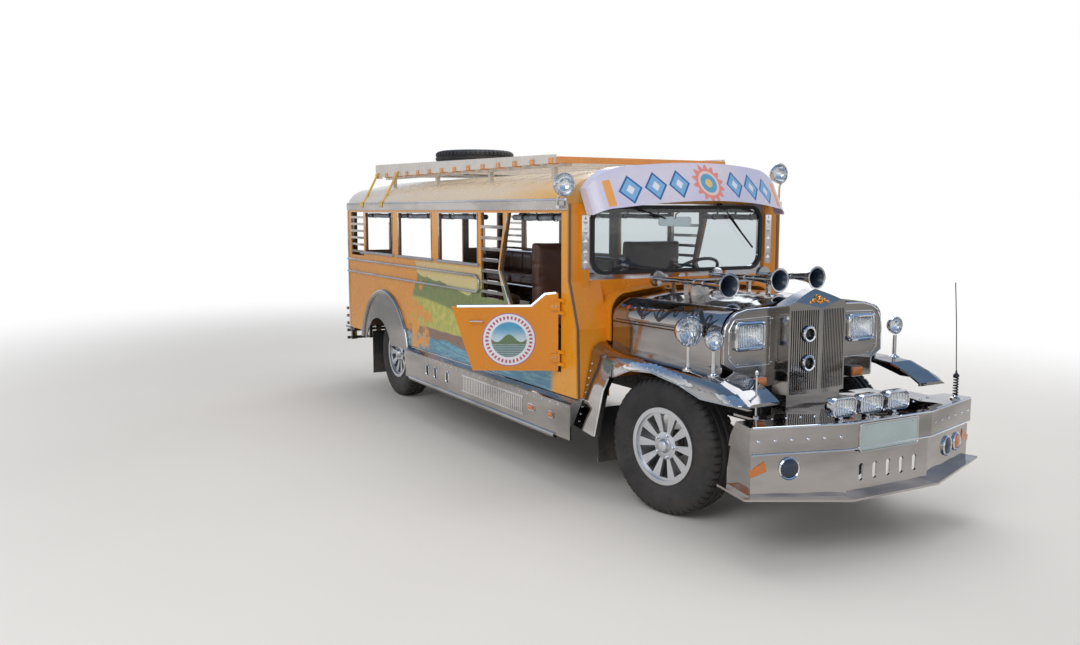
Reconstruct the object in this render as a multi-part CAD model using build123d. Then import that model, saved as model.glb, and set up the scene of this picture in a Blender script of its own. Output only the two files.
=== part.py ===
"""Long-bodied passenger jeepney: ladder frame, open-sided cabin, chrome nose and roof rack.

Millimetres. +X points forward, +Y to the vehicle's left, +Z up.
The origin is on the ground, on the centreline, below the front axle.
"""
from build123d import *
import os

# Running gear
wheelbase = 4450
rear_overhang = 890
rear_axle_x = -wheelbase
body_rear_x = rear_axle_x - rear_overhang
tyre_radius = 425
tyre_width = 235
tyre_bead_radius = 226
tyre_shoulder_drop = 14
tyre_shoulder_share = 0.84
tyre_tread_share = 0.66
wheel_plane_y = 640
kingpin_y = 590
parked_steer = 12
spindle_radius = 30
spindle_overhang = 22
running_clearance = 0.05
bead_share = 0.78
rim_flange_height = 14
rim_wall = 12
rim_disc_offset = 62
rim_disc_thick = 22
rim_hub_wall = 28
rim_dish_depth = 34
spoke_windows = 10
axle_half_height = 50
axle_half_width = 32
axle_web = 20
axle_tube_radius = 52
differential_radius = 150
differential_half = 110
kingpin_radius = 16
knuckle_eye_radius = 34
knuckle_arm_half = 26
knuckle_web = 18
knuckle_lug_thick = 24
knuckle_gap = 2

# Frame, springs and drive
rail_inner_y = 272
rail_width = 58
rail_bottom_z = 600
rail_height = 120
rail_web = 8
frame_front_x = 960
frame_rear_x = body_rear_x + 90
cross_member_stations = (frame_rear_x + 30, rear_axle_x - 540, rear_axle_x + 560, -3000, -2100, -1200, 700)
cross_member_half = 30
tow_bore_x = body_rear_x - 100
tow_bore_radius = 20
tow_tongue_half = 70
tow_tongue_thick = 20
cross_member_inset = 20
spring_width = 54
spring_thick = 34
spring_seat_half = 60
front_spring_reach = 430
rear_spring_reach = 560
spring_pad = 70
engine_x = (-560, 260)
engine_half = 230
engine_z = (610, 1090)
gearbox_end_x = -1150
gearbox_half = 120
gearbox_z = (530, 700)
drive_shaft_radius = 32
drive_shaft_z = 572

# Cabin shell
half_width = 932
wall = 30
sheet = 12
body_bottom_z = 620
floor_thick = 25
valance_bottom_z = 1865
valance_top_z = 1927
valance_lap = 20
valance_thick = 14
sill_z = 1440
window_head_z = 1845
post_front_x = -783
post_rear_x = -858
cowl_face_x = -790
cowl_top_z = 1395
cowl_post_y = (half_width - 164, half_width - 96)
cowl_post_foot_z = 1100
cowl_band_rise = 34
cowl_band_front_x = -606
cowl_band_proud = 14
cowl_band_foot_z = 1000
corner_front_x = -655
corner_waist = (-672, 1080)
roof_crown_z = 2175
roof_shoulder = (half_width - 232, 155)
roof_edge_bulge = (half_width - 72, 98)
roof_thick = 26
roof_front_x = -800
wheel_box_reach = 505
wheel_box_inner_y = 500
wheel_box_top_z = 925
wheel_cut_radius = 490
rear_entry_half = 400
rear_window_margin = (70, 60)

# Rear and front X of each open window on one side
window_post = 155
rear_window = (rear_axle_x - 342, rear_axle_x + 430)
front_window = (-2920, -2150)
middle_window = (rear_window[1] + window_post, front_window[0] - window_post)
side_windows = [rear_window, middle_window, front_window]

# Louvred bays: rear and front X, then the heights of their slats
front_louvre = (-2096, -1800)
front_louvre_foot_z = 1190
front_louvre_head_x = -1716
front_louvre_foot_x = -1700
front_slat_heights = (1225, 1300, 1385, 1470, 1555, 1640, 1725)
rear_louvre = (body_rear_x + 90, body_rear_x + 490)
rear_louvre_drop = 40
rear_slat_heights = (1430, 1500, 1570, 1640, 1710, 1780)
slat_height = 24

# Windshield
windshield_half = cowl_post_y[0] - 45
windshield_bottom_z = 1454
windshield_top_z = 1872
windshield_corner = 85
windshield_plate = (20, 4)
gasket_width = 26
gasket_proud = 14
glass_thick = 8

# Visor, its plan given at the height where its lower edge is highest
visor_plan_z = 1926
visor_centre_x = -410
visor_bend = (-576, 700)
visor_corner = (-625, 780)
visor_corner_end = (-680, 825)
visor_return_x = -763
visor_lean = 0.57
visor_thick = 14
visor_reach = 300
visor_low_tip = (832, 1828)
visor_low_mid = (785, 1855)
visor_low_bend = (680, 1878)
visor_top_z = 2183
visor_top_bend = (550, 2155)
visor_top_mid = (740, 2093)
visor_top_tip = (832, 1995)

# Side trim, wheel rings and running boards
rub_rail_heights = (1352, 1223)
rub_rail_radius = 11
rub_rail_front_x = -2180
ring_offset_x = 180
ring_radius = 640
ring_centre_z = 440
ring_foot_z = 565
ring_tube = 22
ring_plate_thick = 8
ring_cut_radius = 370
board_rear_x = rear_axle_x + 850
board_top_z = 612
board_drop = 27
board_lip_z = 345
board_reach = 52
board_tube_radius = 20
board_slots = (-3080, -2900, -2650)
board_slot_z = 470
board_slot = (90, 46)

# Mudflaps: rear face X, inner and outer distance from the centreline, foot and top
mudflaps = [(-600, 600, 800, 190, 560), (rear_axle_x - 560, 540, 800, 150, 600)]
mudflap_thick = 10

# Doors
door_thick = 28
door_open_angle = 60
hinge_x = -862
hinge_stand_off = 14
hinge_radius = 9
hinge_pin_radius = 4
hinge_length = 60
hinge_ear = 22
hinge_gap = 1
hinge_leaf = 60
hinge_heights = (870, 1220)
door_bottom_z = 780
door_front_gap = 6
door_fin_z = 1216
door_fin_length = 726
door_foot_length = 587
door_step_start = 190
door_step_end = 96
door_step_rise = 6
door_post_z = 1311
doorway_gap = 10
doorway_waist = (-1607, 1165)
doorway_kink = (-1769, 1416)
doorway_head = (-1668, 1739)
doorway_head_front_x = -1636

# Hood and its hinges
hood_front_x = 440
hood_rear_x = -592
hood_hinge_x = -580
hood_hinge_rows = (-240, 240)
hood_hinge_length = 50
hood_hinge_leaf = 50
hood_half_front = 635
hood_half_rear = 690
hood_half_cowl = hood_half_rear - 16
hood_top_z = 1335
hood_side_z = 1140
hood_corner = 140
hood_crown = 40
apron_gap = 8
apron_bottom_z = 860

# Grille shell and lamp panels
grille_half = 216
grille_wall = 34
grille_edge_x = 560
grille_nose_x = 588
grille_bottom_z = 782
grille_shoulder_z = 1300
grille_bulge = (120, 1360)
grille_peak_z = 1400
grille_slope_z = 1290
grille_peak_x = 525
grille_inside_top_z = 1280
grille_depth = 30
grille_post_half = 16
grille_bars = 13
grille_gap_share = 0.45
grille_port_y = 87
grille_port_heights = (1139, 966)
grille_port_radius = 46
grille_port_bore = 34
lamp_plane_x = 468
lamp_panel_thick = 14
lamp_panel_edge = [(480, 1292), (596, 1247), (642, 1130), (642, 985)]
lamp_y = 450
lamp_z = 1140
lamp_width = 200
lamp_height = 142
lamp_depth = 26
lamp_corner = 24
lamp_seat = 7

# Front wings
fender_outer_y = 820
fender_inner_y = 560
fender_edge_radius = 90
wing_top_line = [(-653, 992), (-487, 962), (162, 945), (475, 938), (620, 928), (745, 885), (850, 830)]
wing_arch_line = [(-437, 380), (-437, 700), (-402, 791), (-200, 868), (12, 885), (290, 855), (494, 805)]
wing_lip_end = (850, 812)
wing_cut_z = 400
skirt_top_z = 905
skirt_lap = 45
skirt_foot_z = 411
skirt_rear_foot = (-706, 436)
skirt_front_foot = (-432, 408)
skirt_flange = 40

# Front bumper
bumper_nose_x = 1135
bumper_nose_half = 323
bumper_end_x = 973
bumper_end_y = 873
bumper_back_x = 640
bumper_wing_x = 700
bumper_wing_y = 800
bumper_top_z = 740
bumper_band_z = 590
bumper_apron_inset = 16
bumper_apron_back = 50
bumper_lip_z = 335
bumper_lip_end_rise = 35
bumper_lip_reach = 52
bumper_lip_thick = 12
bumper_slots = (-210, -105, 0, 105, 210)
bumper_slot_z = 455
bumper_slot = (96, 34)
bumper_shelf_width = 60
bumper_bracket_x = (720, 900)
# Rear edge of the bumper's side panels from the top down, beyond the distance from the centreline
bumper_tail_line = [(815, 745), (750, 655), (722, 570), (694, 450), (694, 330)]
bumper_tail_y = 700

# Lamps: X range, Y range and Z range of the right-hand amber lamp and tail lamp
amber_lamp = ((468, 528), (-440, -350), (840, 900))
tail_lamp = ((body_rear_x - 26, body_rear_x), (72 - half_width, 172 - half_width), (1180, 1380))
fog_lamp_rows = (-320, -115, 95)
fog_lamp_x = (1005, 1095)
fog_lamp_half = 88
fog_lamp_height = (22, 130)
fog_foot_half = 15
# Bowl lamps on the wings: X, distance from the centreline, Z, radius
wing_lamps = [(280, 742, 1165, 88), (500, 735, 1135, 56)]
wing_stalk_radius = 12
# Bowls at the roof's front corners: side, X, distance from the centreline, Z
roof_bowls = [(-1, -757, half_width + 43, 2030), (1, -845, half_width + 36, 2138)]
roof_bowl_radius = 78
roof_bowl_wall = 10
roof_bowl_mouth = 64
roof_stalk_radius = 8

# Air horns: Y, Z and front X of each trumpet
horns = [(-370, 1408, 190), (130, 1418, 90), (560, 1412, -15)]
horn_rear_x = -540
horn_bell_radius = 76
horn_bar_stations = (-430, -230)
horn_bar_y = (-420, 600)
horn_bar_z = (1390, 1406)
horn_bar_half = 10
horn_foot_y = 330
horn_foot_half = 12
horn_foot_gap = 0.3

# Seats, dashboard, steering wheel and window covers
bench_x = (body_rear_x + 140, front_window[1])
bench_front_y = 520
bench_seat_z = (1090, 1180)
bench_back_top_z = 1400
bench_back_thick = 66
bench_board_thick = 20
bench_board_gap = 25
bench_box_reach = wheel_box_reach + sheet + bench_board_gap
bench_board_ranges = ((bench_x[0], rear_axle_x - bench_box_reach),
                      (rear_axle_x + bench_box_reach, bench_x[1]))
seat_gap = 4
front_seat_y = (130, 700)
front_seat_base_x = (-1650, -1230)
front_seat_cushion_x = (-1680, -1180)
front_seat_cushion_z = (1010, 1120)
front_seat_back_x = (-1760, -1660)
front_seat_back_top_z = 1640
dash_half = cowl_post_y[0] - 8
dash_line = [(-800, 1180), (-800, 1385), (-980, 1375), (-1010, 1320), (-960, 1180)]
steering_centre = (-1150, 400, 1390)
steering_tilt = 35
steering_radius = 200
steering_grip = 12
steering_hub_radius = 34
steering_column_radius = 18
steering_column_length = 380
curtain_radius = 26
curtain_z = 1812
curtain_ranges = ((rear_window[0] - 38, front_window[1] + 30), (-1640, -870))

# Roof rack and spare wheel
rack_half = 750
rack_front_x = -1240
rack_rear_x = body_rear_x + 435
rack_deck_z = 2235
rack_slat_thick = 30
rack_slat_half = 35
rack_slats = 14
rack_bearer_y = 640
rack_bearer_half = 20
rack_board_thick = 20
rack_board_foot_z = 2195
rack_board_top_z = (2325, 2255)
rack_foot_stations = (rack_rear_x + 205, rear_axle_x + 850, -2500, -1450)
spare_radius = 390
spare_width = 215
spare_bead_radius = 210
spare_x = rear_axle_x + 300
spare_gap = 0.2

# Rear step and guards
step_depth = 150
step_z = (600, 620)
guard_bar_heights = (480, 560, 640, 720, 800)
guard_bar_height = 30
guard_bar_y = (rear_entry_half + 40, half_width + 20)
guard_bar_x = (60, 36)
guard_post_rows = (guard_bar_y[0] + 40, 700, guard_bar_y[1] - 52)
guard_post_half = 15

# Sizes that follow from those above
rail_top_z = rail_bottom_z + rail_height
rail_middle_y = rail_inner_y + rail_width / 2
floor_top_z = rail_top_z + floor_thick
inner_half = half_width - wall
edge_z = valance_top_z - valance_lap
hub_end = rim_disc_offset + rim_disc_thick + spindle_overhang
ring_x = rear_axle_x + ring_offset_x
hood_stations = [(hood_rear_x, hood_half_rear), (hood_front_x, hood_half_front)]
wing_depth = wing_top_line[0][1] - wing_cut_z + 2 * bumper_apron_back
cut_over = 1
cut_far = 2000
bumper_lip_slope = 3.64


# Drawing helpers

def block(x0, x1, y0, y1, z0, z1):
    """A rectangular solid between two opposite corners."""
    size = Box(abs(x1 - x0), abs(y1 - y0), abs(z1 - z0))
    return Pos((x0 + x1) / 2, (y0 + y1) / 2, (z0 + z1) / 2) * size


def outline(*points):
    """A flat face with straight edges through the points."""
    return make_face(Polyline(*points, close=True))


def along_y(face, y0, y1):
    """A face drawn in X and Z, made solid from y0 to y1."""
    plane = Plane(origin=(0, y1, 0), x_dir=(1, 0, 0), z_dir=(0, -1, 0))
    return extrude(plane * face, amount=y1 - y0)


def along_x(face, x0, x1):
    """A face drawn in Y and Z, made solid from x0 to x1."""
    plane = Plane(origin=(x0, 0, 0), x_dir=(0, 1, 0), z_dir=(1, 0, 0))
    return extrude(plane * face, amount=x1 - x0)


def along_z(face, z0, z1):
    """A face drawn in X and Y, made solid from z0 to z1."""
    return extrude(Pos(0, 0, z0) * face, amount=z1 - z0)


def rod(start, end, radius):
    """A round bar between two points."""
    start = Vector(*start)
    end = Vector(*end)
    plane = Plane(origin=start, z_dir=end - start)
    return extrude(plane * Circle(radius), amount=(end - start).length)


def mirrored(shape):
    """The left-hand twin of a right-hand piece."""
    return mirror(shape, about=Plane.XZ)


def both_sides(*shapes):
    """Right-hand pieces followed by their left-hand twins."""
    return [*shapes, *(mirrored(shape) for shape in shapes)]


def fused(pieces):
    """One shape from pieces that meet."""
    whole = pieces[0]
    for piece in pieces[1:]:
        whole = whole + piece
    return whole


def symmetric_outline(side_edges, middle_edges):
    """A face in Y and Z from one side's edges, their mirror image and the edges across the centreline."""
    twins = [mirror(edge, about=Plane.YZ) for edge in side_edges]
    return make_face(side_edges + twins + middle_edges)


def save(name, shapes):
    """Write one node; a list becomes one file with a solid for each entry."""
    solids = []
    for shape in shapes if isinstance(shapes, list) else [shapes]:
        solids.extend(shape.solids())
    export_step(solids[0] if len(solids) == 1 else Compound(children=solids), f"parts/{name}.step")


# Wheels and axles

def tyre_solid(radius, width, bead):
    """A tyre about the Y axis, centred on the origin."""
    half = width / 2
    bead_half = half * bead_share
    foot = bead + rim_flange_height + 2
    shoulder = radius - tyre_shoulder_drop
    shoulder_half = half * tyre_shoulder_share
    tread_half = half * tyre_tread_share
    middle = (radius + bead) / 2
    face = make_face([
        Line((-bead_half, bead), (bead_half, bead)),
        Line((bead_half, bead), (bead_half, foot)),
        ThreePointArc((bead_half, foot), (half, middle), (shoulder_half, shoulder)),
        Line((shoulder_half, shoulder), (tread_half, radius)),
        Line((tread_half, radius), (-tread_half, radius)),
        Line((-tread_half, radius), (-shoulder_half, shoulder)),
        ThreePointArc((-shoulder_half, shoulder), (-half, middle), (-bead_half, foot)),
        Line((-bead_half, foot), (-bead_half, bead)),
    ])
    return revolve(Plane.YZ * face, axis=Axis.Y)


def rim_solid(bead, width, bore):
    """A spoked rim about the Y axis whose face looks along +Y."""
    half = width / 2 * bead_share
    inner = bead - rim_wall
    flange = bead + rim_flange_height
    back = rim_disc_offset
    front = rim_disc_offset + rim_disc_thick
    hub_radius = spindle_radius + rim_hub_wall
    ring = [
        (-half - rim_wall, inner), (-half - rim_wall, flange), (-half, flange), (-half, bead),
        (half, bead), (half, flange), (half + rim_wall, flange), (half + rim_wall, inner),
    ]
    barrel = revolve(Plane.YZ * outline(*ring), axis=Axis.Y)
    dish = [
        (back - rim_dish_depth, bore), (back - rim_dish_depth, hub_radius), (back - 12, hub_radius + 30),
        (back, inner), (front, inner), (front - 12, hub_radius + 30), (front - 4, hub_radius),
        (front - 4, bore),
    ]
    disc = revolve(Plane.YZ * outline(*dish), axis=Axis.Y)
    foot = hub_radius + 26
    rim_foot = inner - 16
    window = outline((-14, foot), (14, foot), (34, rim_foot), (-34, rim_foot))
    cutter = along_y(window, back - 2 * rim_dish_depth, front + rim_dish_depth)
    for index in range(spoke_windows):
        disc = disc - Rot(0, index * 360 / spoke_windows, 0) * cutter
    return barrel + disc


def wheel_at(shape, side, x, steer=0.0):
    """Place a wheel piece; side is -1 on the right and +1 on the left."""
    if side < 0:
        shape = Rot(0, 0, 180) * shape
    placed = Pos(0, side * (wheel_plane_y - kingpin_y), 0) * shape
    return Pos(x, side * kingpin_y, tyre_radius) * Rot(0, 0, steer) * placed


def knuckle_solid(side):
    """The forked steering knuckle with its kingpin and wheel spindle, steered as parked."""
    eye = axle_half_height + knuckle_gap
    lug_top = eye + knuckle_lug_thick
    web_y = knuckle_eye_radius + 8
    spindle_end = wheel_plane_y - kingpin_y + hub_end
    half = knuckle_arm_half
    lug = extrude(Pos(0, 0, eye) * Circle(knuckle_eye_radius), amount=knuckle_lug_thick)
    upper = lug + block(-half, half, 0, web_y + knuckle_web / 2, eye, lug_top)
    web = block(-half, half, web_y, web_y + knuckle_web, -lug_top, lug_top)
    pin = Cylinder(kingpin_radius, 2 * lug_top)
    spindle = rod((0, web_y + knuckle_web / 2, 0), (0, spindle_end, 0), spindle_radius)
    whole = fused([upper, mirror(upper, about=Plane.XY), web, pin, spindle])
    if side < 0:
        whole = Rot(0, 0, 180) * whole
    return Pos(0, side * kingpin_y, tyre_radius) * Rot(0, 0, parked_steer) * whole


def front_axle_solid():
    """A forged beam with a bored eye at each end for the kingpins."""
    height = axle_half_height
    end = kingpin_y - axle_web
    beam = block(-axle_half_width, axle_half_width, -end, end, -height, height)
    pocket_y = end - 3 * axle_web
    for side in (-1, 1):
        beam = beam - block(side * axle_web / 2, side * (axle_half_width + cut_over), -pocket_y, pocket_y,
                            axle_web - height, height - axle_web)
    for side in (-1, 1):
        eye = Cylinder(knuckle_eye_radius - 2, 2 * height)
        bore = Cylinder(kingpin_radius + running_clearance, 3 * height)
        beam = beam + Pos(0, side * kingpin_y, 0) * eye - Pos(0, side * kingpin_y, 0) * bore
    return Pos(0, 0, tyre_radius) * beam


def rear_axle_solid():
    """A tube with a round differential housing, spring seats and a stub at each end."""
    end = wheel_plane_y + hub_end
    tube_end = kingpin_y - 2 * axle_web
    seat_half = spring_width / 2 + 9
    half = differential_half
    tube = rod((0, -tube_end, 0), (0, tube_end, 0), axle_tube_radius)
    stub = rod((0, -end, 0), (0, end, 0), spindle_radius)
    radius = differential_radius
    profile = outline((-half, 0), (-half, 60), (-60, radius), (60, radius), (half, 60), (half, 0))
    housing = revolve(Plane.YZ * profile, axis=Axis.Y)
    seats = [
        block(-spring_seat_half, spring_seat_half, y - seat_half, y + seat_half, 0, axle_tube_radius)
        for y in (-rail_middle_y, rail_middle_y)
    ]
    nose = rod((0, 0, 0), (radius + 60, 0, 20), 42)
    return Pos(rear_axle_x, 0, tyre_radius) * fused([tube, stub, housing, nose] + seats)


def spring_solid(centre_x, reach, seat_z):
    """One leaf pack: a flat seat, two bowed arms and a flat pad under the rail at each end."""
    top = rail_bottom_z
    low = seat_z + spring_thick
    bow = (top - low) * 0.12
    flats = [
        ((-reach, top), (-reach + spring_pad, top)),
        ((-spring_seat_half, low), (spring_seat_half, low)),
        ((reach - spring_pad, top), (reach, top)),
    ]
    upper = [Line(first, last) for first, last in flats]
    for (_, last), (following, _) in zip(flats, flats[1:]):
        middle = ((last[0] + following[0]) / 2, (last[1] + following[1]) / 2 - bow)
        upper.append(ThreePointArc(last, middle, following))
    lower = [Pos(0, -spring_thick, 0) * edge for edge in upper]
    ends = [Line((x, top), (x, top - spring_thick)) for x in (-reach, reach)]
    face = make_face(upper + lower + ends)
    pack = along_y(face, -rail_middle_y - spring_width / 2, -rail_middle_y + spring_width / 2)
    return Pos(centre_x, 0, 0) * pack


def rail_solid():
    """The right-hand channel rail, its mouth inward, with the bumper's bracket on its front end."""
    outer = rail_inner_y + rail_width
    rail = block(frame_rear_x, frame_front_x, -outer, -rail_inner_y, rail_bottom_z, rail_top_z)
    mouth = block(frame_rear_x - cut_over, frame_front_x + cut_over, -outer + rail_web,
                  -rail_inner_y + cut_over, rail_bottom_z + rail_web, rail_top_z - rail_web)
    bracket = block(*bumper_bracket_x, -outer, -rail_inner_y, rail_top_z, bumper_top_z - sheet)
    return rail - mouth + bracket


def cross_member_solids():
    """Blocks between the rails; the rearmost carries the tongue with the tow eye."""
    reach = rail_inner_y + rail_width - rail_web
    low = rail_bottom_z + cross_member_inset
    half = cross_member_half
    members = [block(x - half, x + half, -reach, reach, low, rail_top_z - cross_member_inset)
               for x in cross_member_stations]
    tongue = block(tow_bore_x - tow_tongue_half, cross_member_stations[0], -tow_tongue_half, tow_tongue_half,
                   low, low + tow_tongue_thick)
    bore = Pos(tow_bore_x, 0, low) * Cylinder(tow_bore_radius, 4 * tow_tongue_thick)
    members[0] = members[0] + tongue - bore
    return members


# Cabin shell

def through_wall(face, over=cut_over):
    """A face drawn in X and Z, made into a cutter through the right-hand wall."""
    return along_y(face, -half_width - over, -inner_half + over)


def doorway():
    """The doorway in the side wall, drawn in X and Z."""
    foot = (hinge_x - door_foot_length - doorway_gap, door_bottom_z - doorway_gap)
    return outline((post_rear_x, foot[1]), (post_rear_x, window_head_z),
                   (doorway_head_front_x, window_head_z), doorway_head, doorway_kink, doorway_waist, foot)


def front_louvre_gap(over):
    """The opening of the louvred bay behind the doorway, deeper than the wall by over on both faces."""
    rear, front = front_louvre
    gap = outline((rear, front_louvre_foot_z), (rear, window_head_z), (front_louvre_head_x, window_head_z),
                  (front_louvre_head_x, doorway_head[1]), (front, doorway_kink[1]),
                  (front_louvre_foot_x, front_louvre_foot_z))
    return through_wall(gap, over)


def rear_louvre_gap(over):
    """The opening of the louvred bay at the rear corner."""
    rear, front = rear_louvre
    low = sill_z - rear_louvre_drop
    head = window_head_z
    return through_wall(outline((rear, low), (rear, head), (front, head), (front, low)), over)


def wheel_circle(radius):
    """A circle about the rear wheel's centre, drawn in X and Z."""
    return Pos(rear_axle_x, tyre_radius) * Circle(radius)


def side_solid():
    """The right-hand wall: windows, louvred openings, doorway, wheel cut and fixed hinge halves."""
    shape = outline((body_rear_x, body_bottom_z), (body_rear_x, edge_z), (post_front_x, edge_z),
                    (post_front_x, cowl_top_z), corner_waist, (corner_front_x, body_bottom_z))
    panel = along_y(shape, -half_width, -inner_half) - through_wall(doorway())
    for rear, front in side_windows:
        window = outline((rear, sill_z), (rear, window_head_z), (front, window_head_z), (front, sill_z))
        panel = panel - through_wall(window)
    panel = panel - front_louvre_gap(cut_over) - rear_louvre_gap(cut_over)
    return fused([panel - through_wall(wheel_circle(wheel_cut_radius))] + door_hinge_halves())


def door_hinge_halves():
    """The fixed halves of the right door's hinges: two ears and a pin on the front post."""
    pin_y = -half_width - hinge_stand_off
    half = hinge_length / 2 + hinge_gap
    pieces = []
    for z in hinge_heights:
        for low in (z - half - hinge_ear, z + half):
            pieces.append(Pos(hinge_x, pin_y, low + hinge_ear / 2) * Cylinder(hinge_radius, hinge_ear))
            pieces.append(block(hinge_x, post_front_x - 20, pin_y - 2, -half_width, low, low + hinge_ear))
        pieces.append(Pos(hinge_x, pin_y, z) * Cylinder(hinge_pin_radius, hinge_length + 2 * hinge_ear))
    return pieces


def rear_wall_solid():
    """The rear wall: two corner panels with windows and a header over the open entrance."""
    rear, front = body_rear_x, body_rear_x + wall
    panel = block(rear, front, -inner_half, inner_half, body_bottom_z, edge_z)
    panel = panel - block(rear - cut_over, front + cut_over, -rear_entry_half, rear_entry_half,
                          body_bottom_z - cut_over, window_head_z)
    window = block(rear - cut_over, front + cut_over, -inner_half + rear_window_margin[1],
                   -rear_entry_half - rear_window_margin[0], sill_z, window_head_z)
    return panel - window - mirrored(window)


def floor_solid():
    """The floor with a pressed box over each rear wheel."""
    plate = block(body_rear_x + wall, cowl_face_x - 10, -inner_half, inner_half, rail_top_z, floor_top_z)
    reach = wheel_box_reach
    outer = block(rear_axle_x - reach - sheet, rear_axle_x + reach + sheet, -inner_half, -wheel_box_inner_y,
                  rail_top_z, wheel_box_top_z + sheet)
    hollow = block(rear_axle_x - reach, rear_axle_x + reach, -inner_half - cut_over,
                   -wheel_box_inner_y - sheet, rail_top_z - cut_over, wheel_box_top_z)
    return plate + outer + mirrored(outer) - hollow - mirrored(hollow)


def roof_face(inset, foot_z):
    """The roof's full section in Y and Z, smaller by inset."""
    half = half_width - inset
    shoulder = (roof_shoulder[0] - 0.4 * inset, valance_top_z + roof_shoulder[1] - inset)
    bulge = (roof_edge_bulge[0] - inset, valance_top_z + roof_edge_bulge[1] - 0.7 * inset)
    gutter = (half, valance_top_z)
    side = [Line((half, foot_z), gutter), ThreePointArc(gutter, bulge, shoulder)]
    crown = ThreePointArc(shoulder, (0, roof_crown_z - inset), (-shoulder[0], shoulder[1]))
    return symmetric_outline(side, [crown, Line((-half, foot_z), (half, foot_z))])


def roof_block(x0, x1):
    """The full section of the roof between two stations."""
    return along_x(roof_face(0, edge_z), x0, x1)


def roof_solid():
    """The crowned roof skin with a closed edge at both ends."""
    hollow = along_x(roof_face(roof_thick, edge_z - cut_over), body_rear_x + sheet, roof_front_x - sheet)
    return roof_block(body_rear_x, roof_front_x) - hollow


def hood_form(stations, top, bottom, inset=0):
    """A full body lofted through (x, half width) stations, smaller by inset all round."""
    edge = top - hood_crown - inset
    corner = hood_corner - inset
    faces = []
    for x, width in stations:
        half = width - inset
        side = [
            Line((half, bottom), (half, edge - corner)),
            ThreePointArc((half, edge - corner), (half - corner * 0.30, edge - corner * 0.28),
                          (half - corner, edge)),
        ]
        crown = ThreePointArc((half - corner, edge), (0, edge + hood_crown), (corner - half, edge))
        section = symmetric_outline(side, [crown, Line((-half, bottom), (half, bottom))])
        faces.append(Plane(origin=(x, 0, 0), x_dir=(0, 1, 0), z_dir=(1, 0, 0)) * section)
    return loft(faces)


def hood_shell(stations, top, bottom):
    """A sheet-metal shell through the stations, open below and at both ends."""
    (x0, half0), (x1, half1) = stations
    over = 10
    slope = (half1 - half0) / (x1 - x0)
    longer = [(x0 - over, half0 - over * slope), (x1 + over, half1 + over * slope)]
    return hood_form(stations, top, bottom) - hood_form(longer, top, bottom - over, sheet)


def hood_block():
    """The lid's outer form as a full body."""
    return hood_form(hood_stations, hood_top_z, hood_side_z)


def lid_hinge_rod(low, high, radius):
    """A round bar on the lid's hinge axis between two Y values."""
    return rod((hood_hinge_x, low, hood_top_z), (hood_hinge_x, high, hood_top_z), radius)


def lid_ear_ranges(y):
    """The Y ranges of the two ears of the lid hinge centred on y."""
    half = hood_hinge_length / 2 + hinge_gap
    return [(y - half - hinge_ear, y - half), (y + half, y + half + hinge_ear)]


def hood_solid():
    """The lid of the engine bay with the moving halves of its two hinges."""
    lid = hood_shell(hood_stations, hood_top_z, hood_side_z)
    axis_x = hood_hinge_x
    for y in hood_hinge_rows:
        low, high = y - hood_hinge_length / 2, y + hood_hinge_length / 2
        leaf = block(axis_x, axis_x + hood_hinge_leaf, low + 2, high - 2, hood_top_z - 18, hood_top_z)
        bore = lid_hinge_rod(low - cut_over, high + cut_over, hinge_pin_radius + running_clearance)
        lid = lid + lid_hinge_rod(low, high, hinge_radius) + leaf - bore
        for near, far in lid_ear_ranges(y):
            lid = lid - block(hood_rear_x - 10, axis_x + 2 * hinge_radius, near - hinge_gap, far + hinge_gap,
                              hood_top_z - 60, hood_top_z + 20)
    return lid


def lid_hinge_halves():
    """The fixed halves of the lid's hinges: ears and pins on the scuttle band."""
    pieces = []
    top = hood_top_z
    for y in hood_hinge_rows:
        ears = lid_ear_ranges(y)
        for low, high in ears:
            pieces.append(lid_hinge_rod(low, high, hinge_radius))
            pieces.append(block(cowl_band_front_x - 40, hood_hinge_x, low, high, top + 1, top + 17))
        pieces.append(lid_hinge_rod(ears[0][0], ears[1][1], hinge_pin_radius))
    return pieces


def cowl_solid():
    """The firewall with the scuttle band, the outer posts and the cab's front corners."""
    wall_plate = block(cowl_face_x - 10, cowl_face_x + 10, -inner_half, inner_half, rail_top_z, cowl_top_z)
    stations = [(cowl_face_x + 10, hood_half_cowl), (cowl_band_front_x, hood_half_rear + cowl_band_proud)]
    band = hood_shell(stations, hood_top_z + cowl_band_rise, cowl_band_foot_z)
    low, high = cowl_post_y
    post = block(cowl_face_x - 20, cowl_face_x + 24, -high, -low, cowl_post_foot_z, edge_z)
    closing = block(cowl_face_x - 20, cowl_face_x + 4, -inner_half, -high, cowl_top_z - 5, edge_z)
    waist_x, waist_z = corner_waist
    skin = 16
    corner = outline((corner_front_x, body_bottom_z), (waist_x, waist_z), (post_front_x, cowl_top_z),
                     (post_front_x - skin, cowl_top_z), (waist_x - skin, waist_z),
                     (corner_front_x - skin, body_bottom_z))
    front = along_y(corner, -inner_half, -hood_half_cowl)
    return fused([wall_plate, band, *both_sides(post, front, closing), *lid_hinge_halves()])


def windshield_opening(grow):
    """The rounded window outline in Y and Z, grown on every side."""
    width = 2 * (windshield_half + grow)
    height = windshield_top_z - windshield_bottom_z + 2 * grow
    centre = (windshield_top_z + windshield_bottom_z) / 2
    return Pos(0, centre) * RectangleRounded(width, height, windshield_corner + grow)


def windshield_frame_solid():
    """The surround between the inner posts, with a raised gasket ring."""
    behind, ahead = windshield_plate
    half = cowl_post_y[0]
    plate = block(cowl_face_x - behind, cowl_face_x + ahead, -half, half, cowl_top_z, edge_z)
    ring = along_x(windshield_opening(gasket_width), cowl_face_x + ahead, cowl_face_x + ahead + gasket_proud)
    return plate + ring - along_x(windshield_opening(0), cowl_face_x - 40, cowl_face_x + 40)


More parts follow.
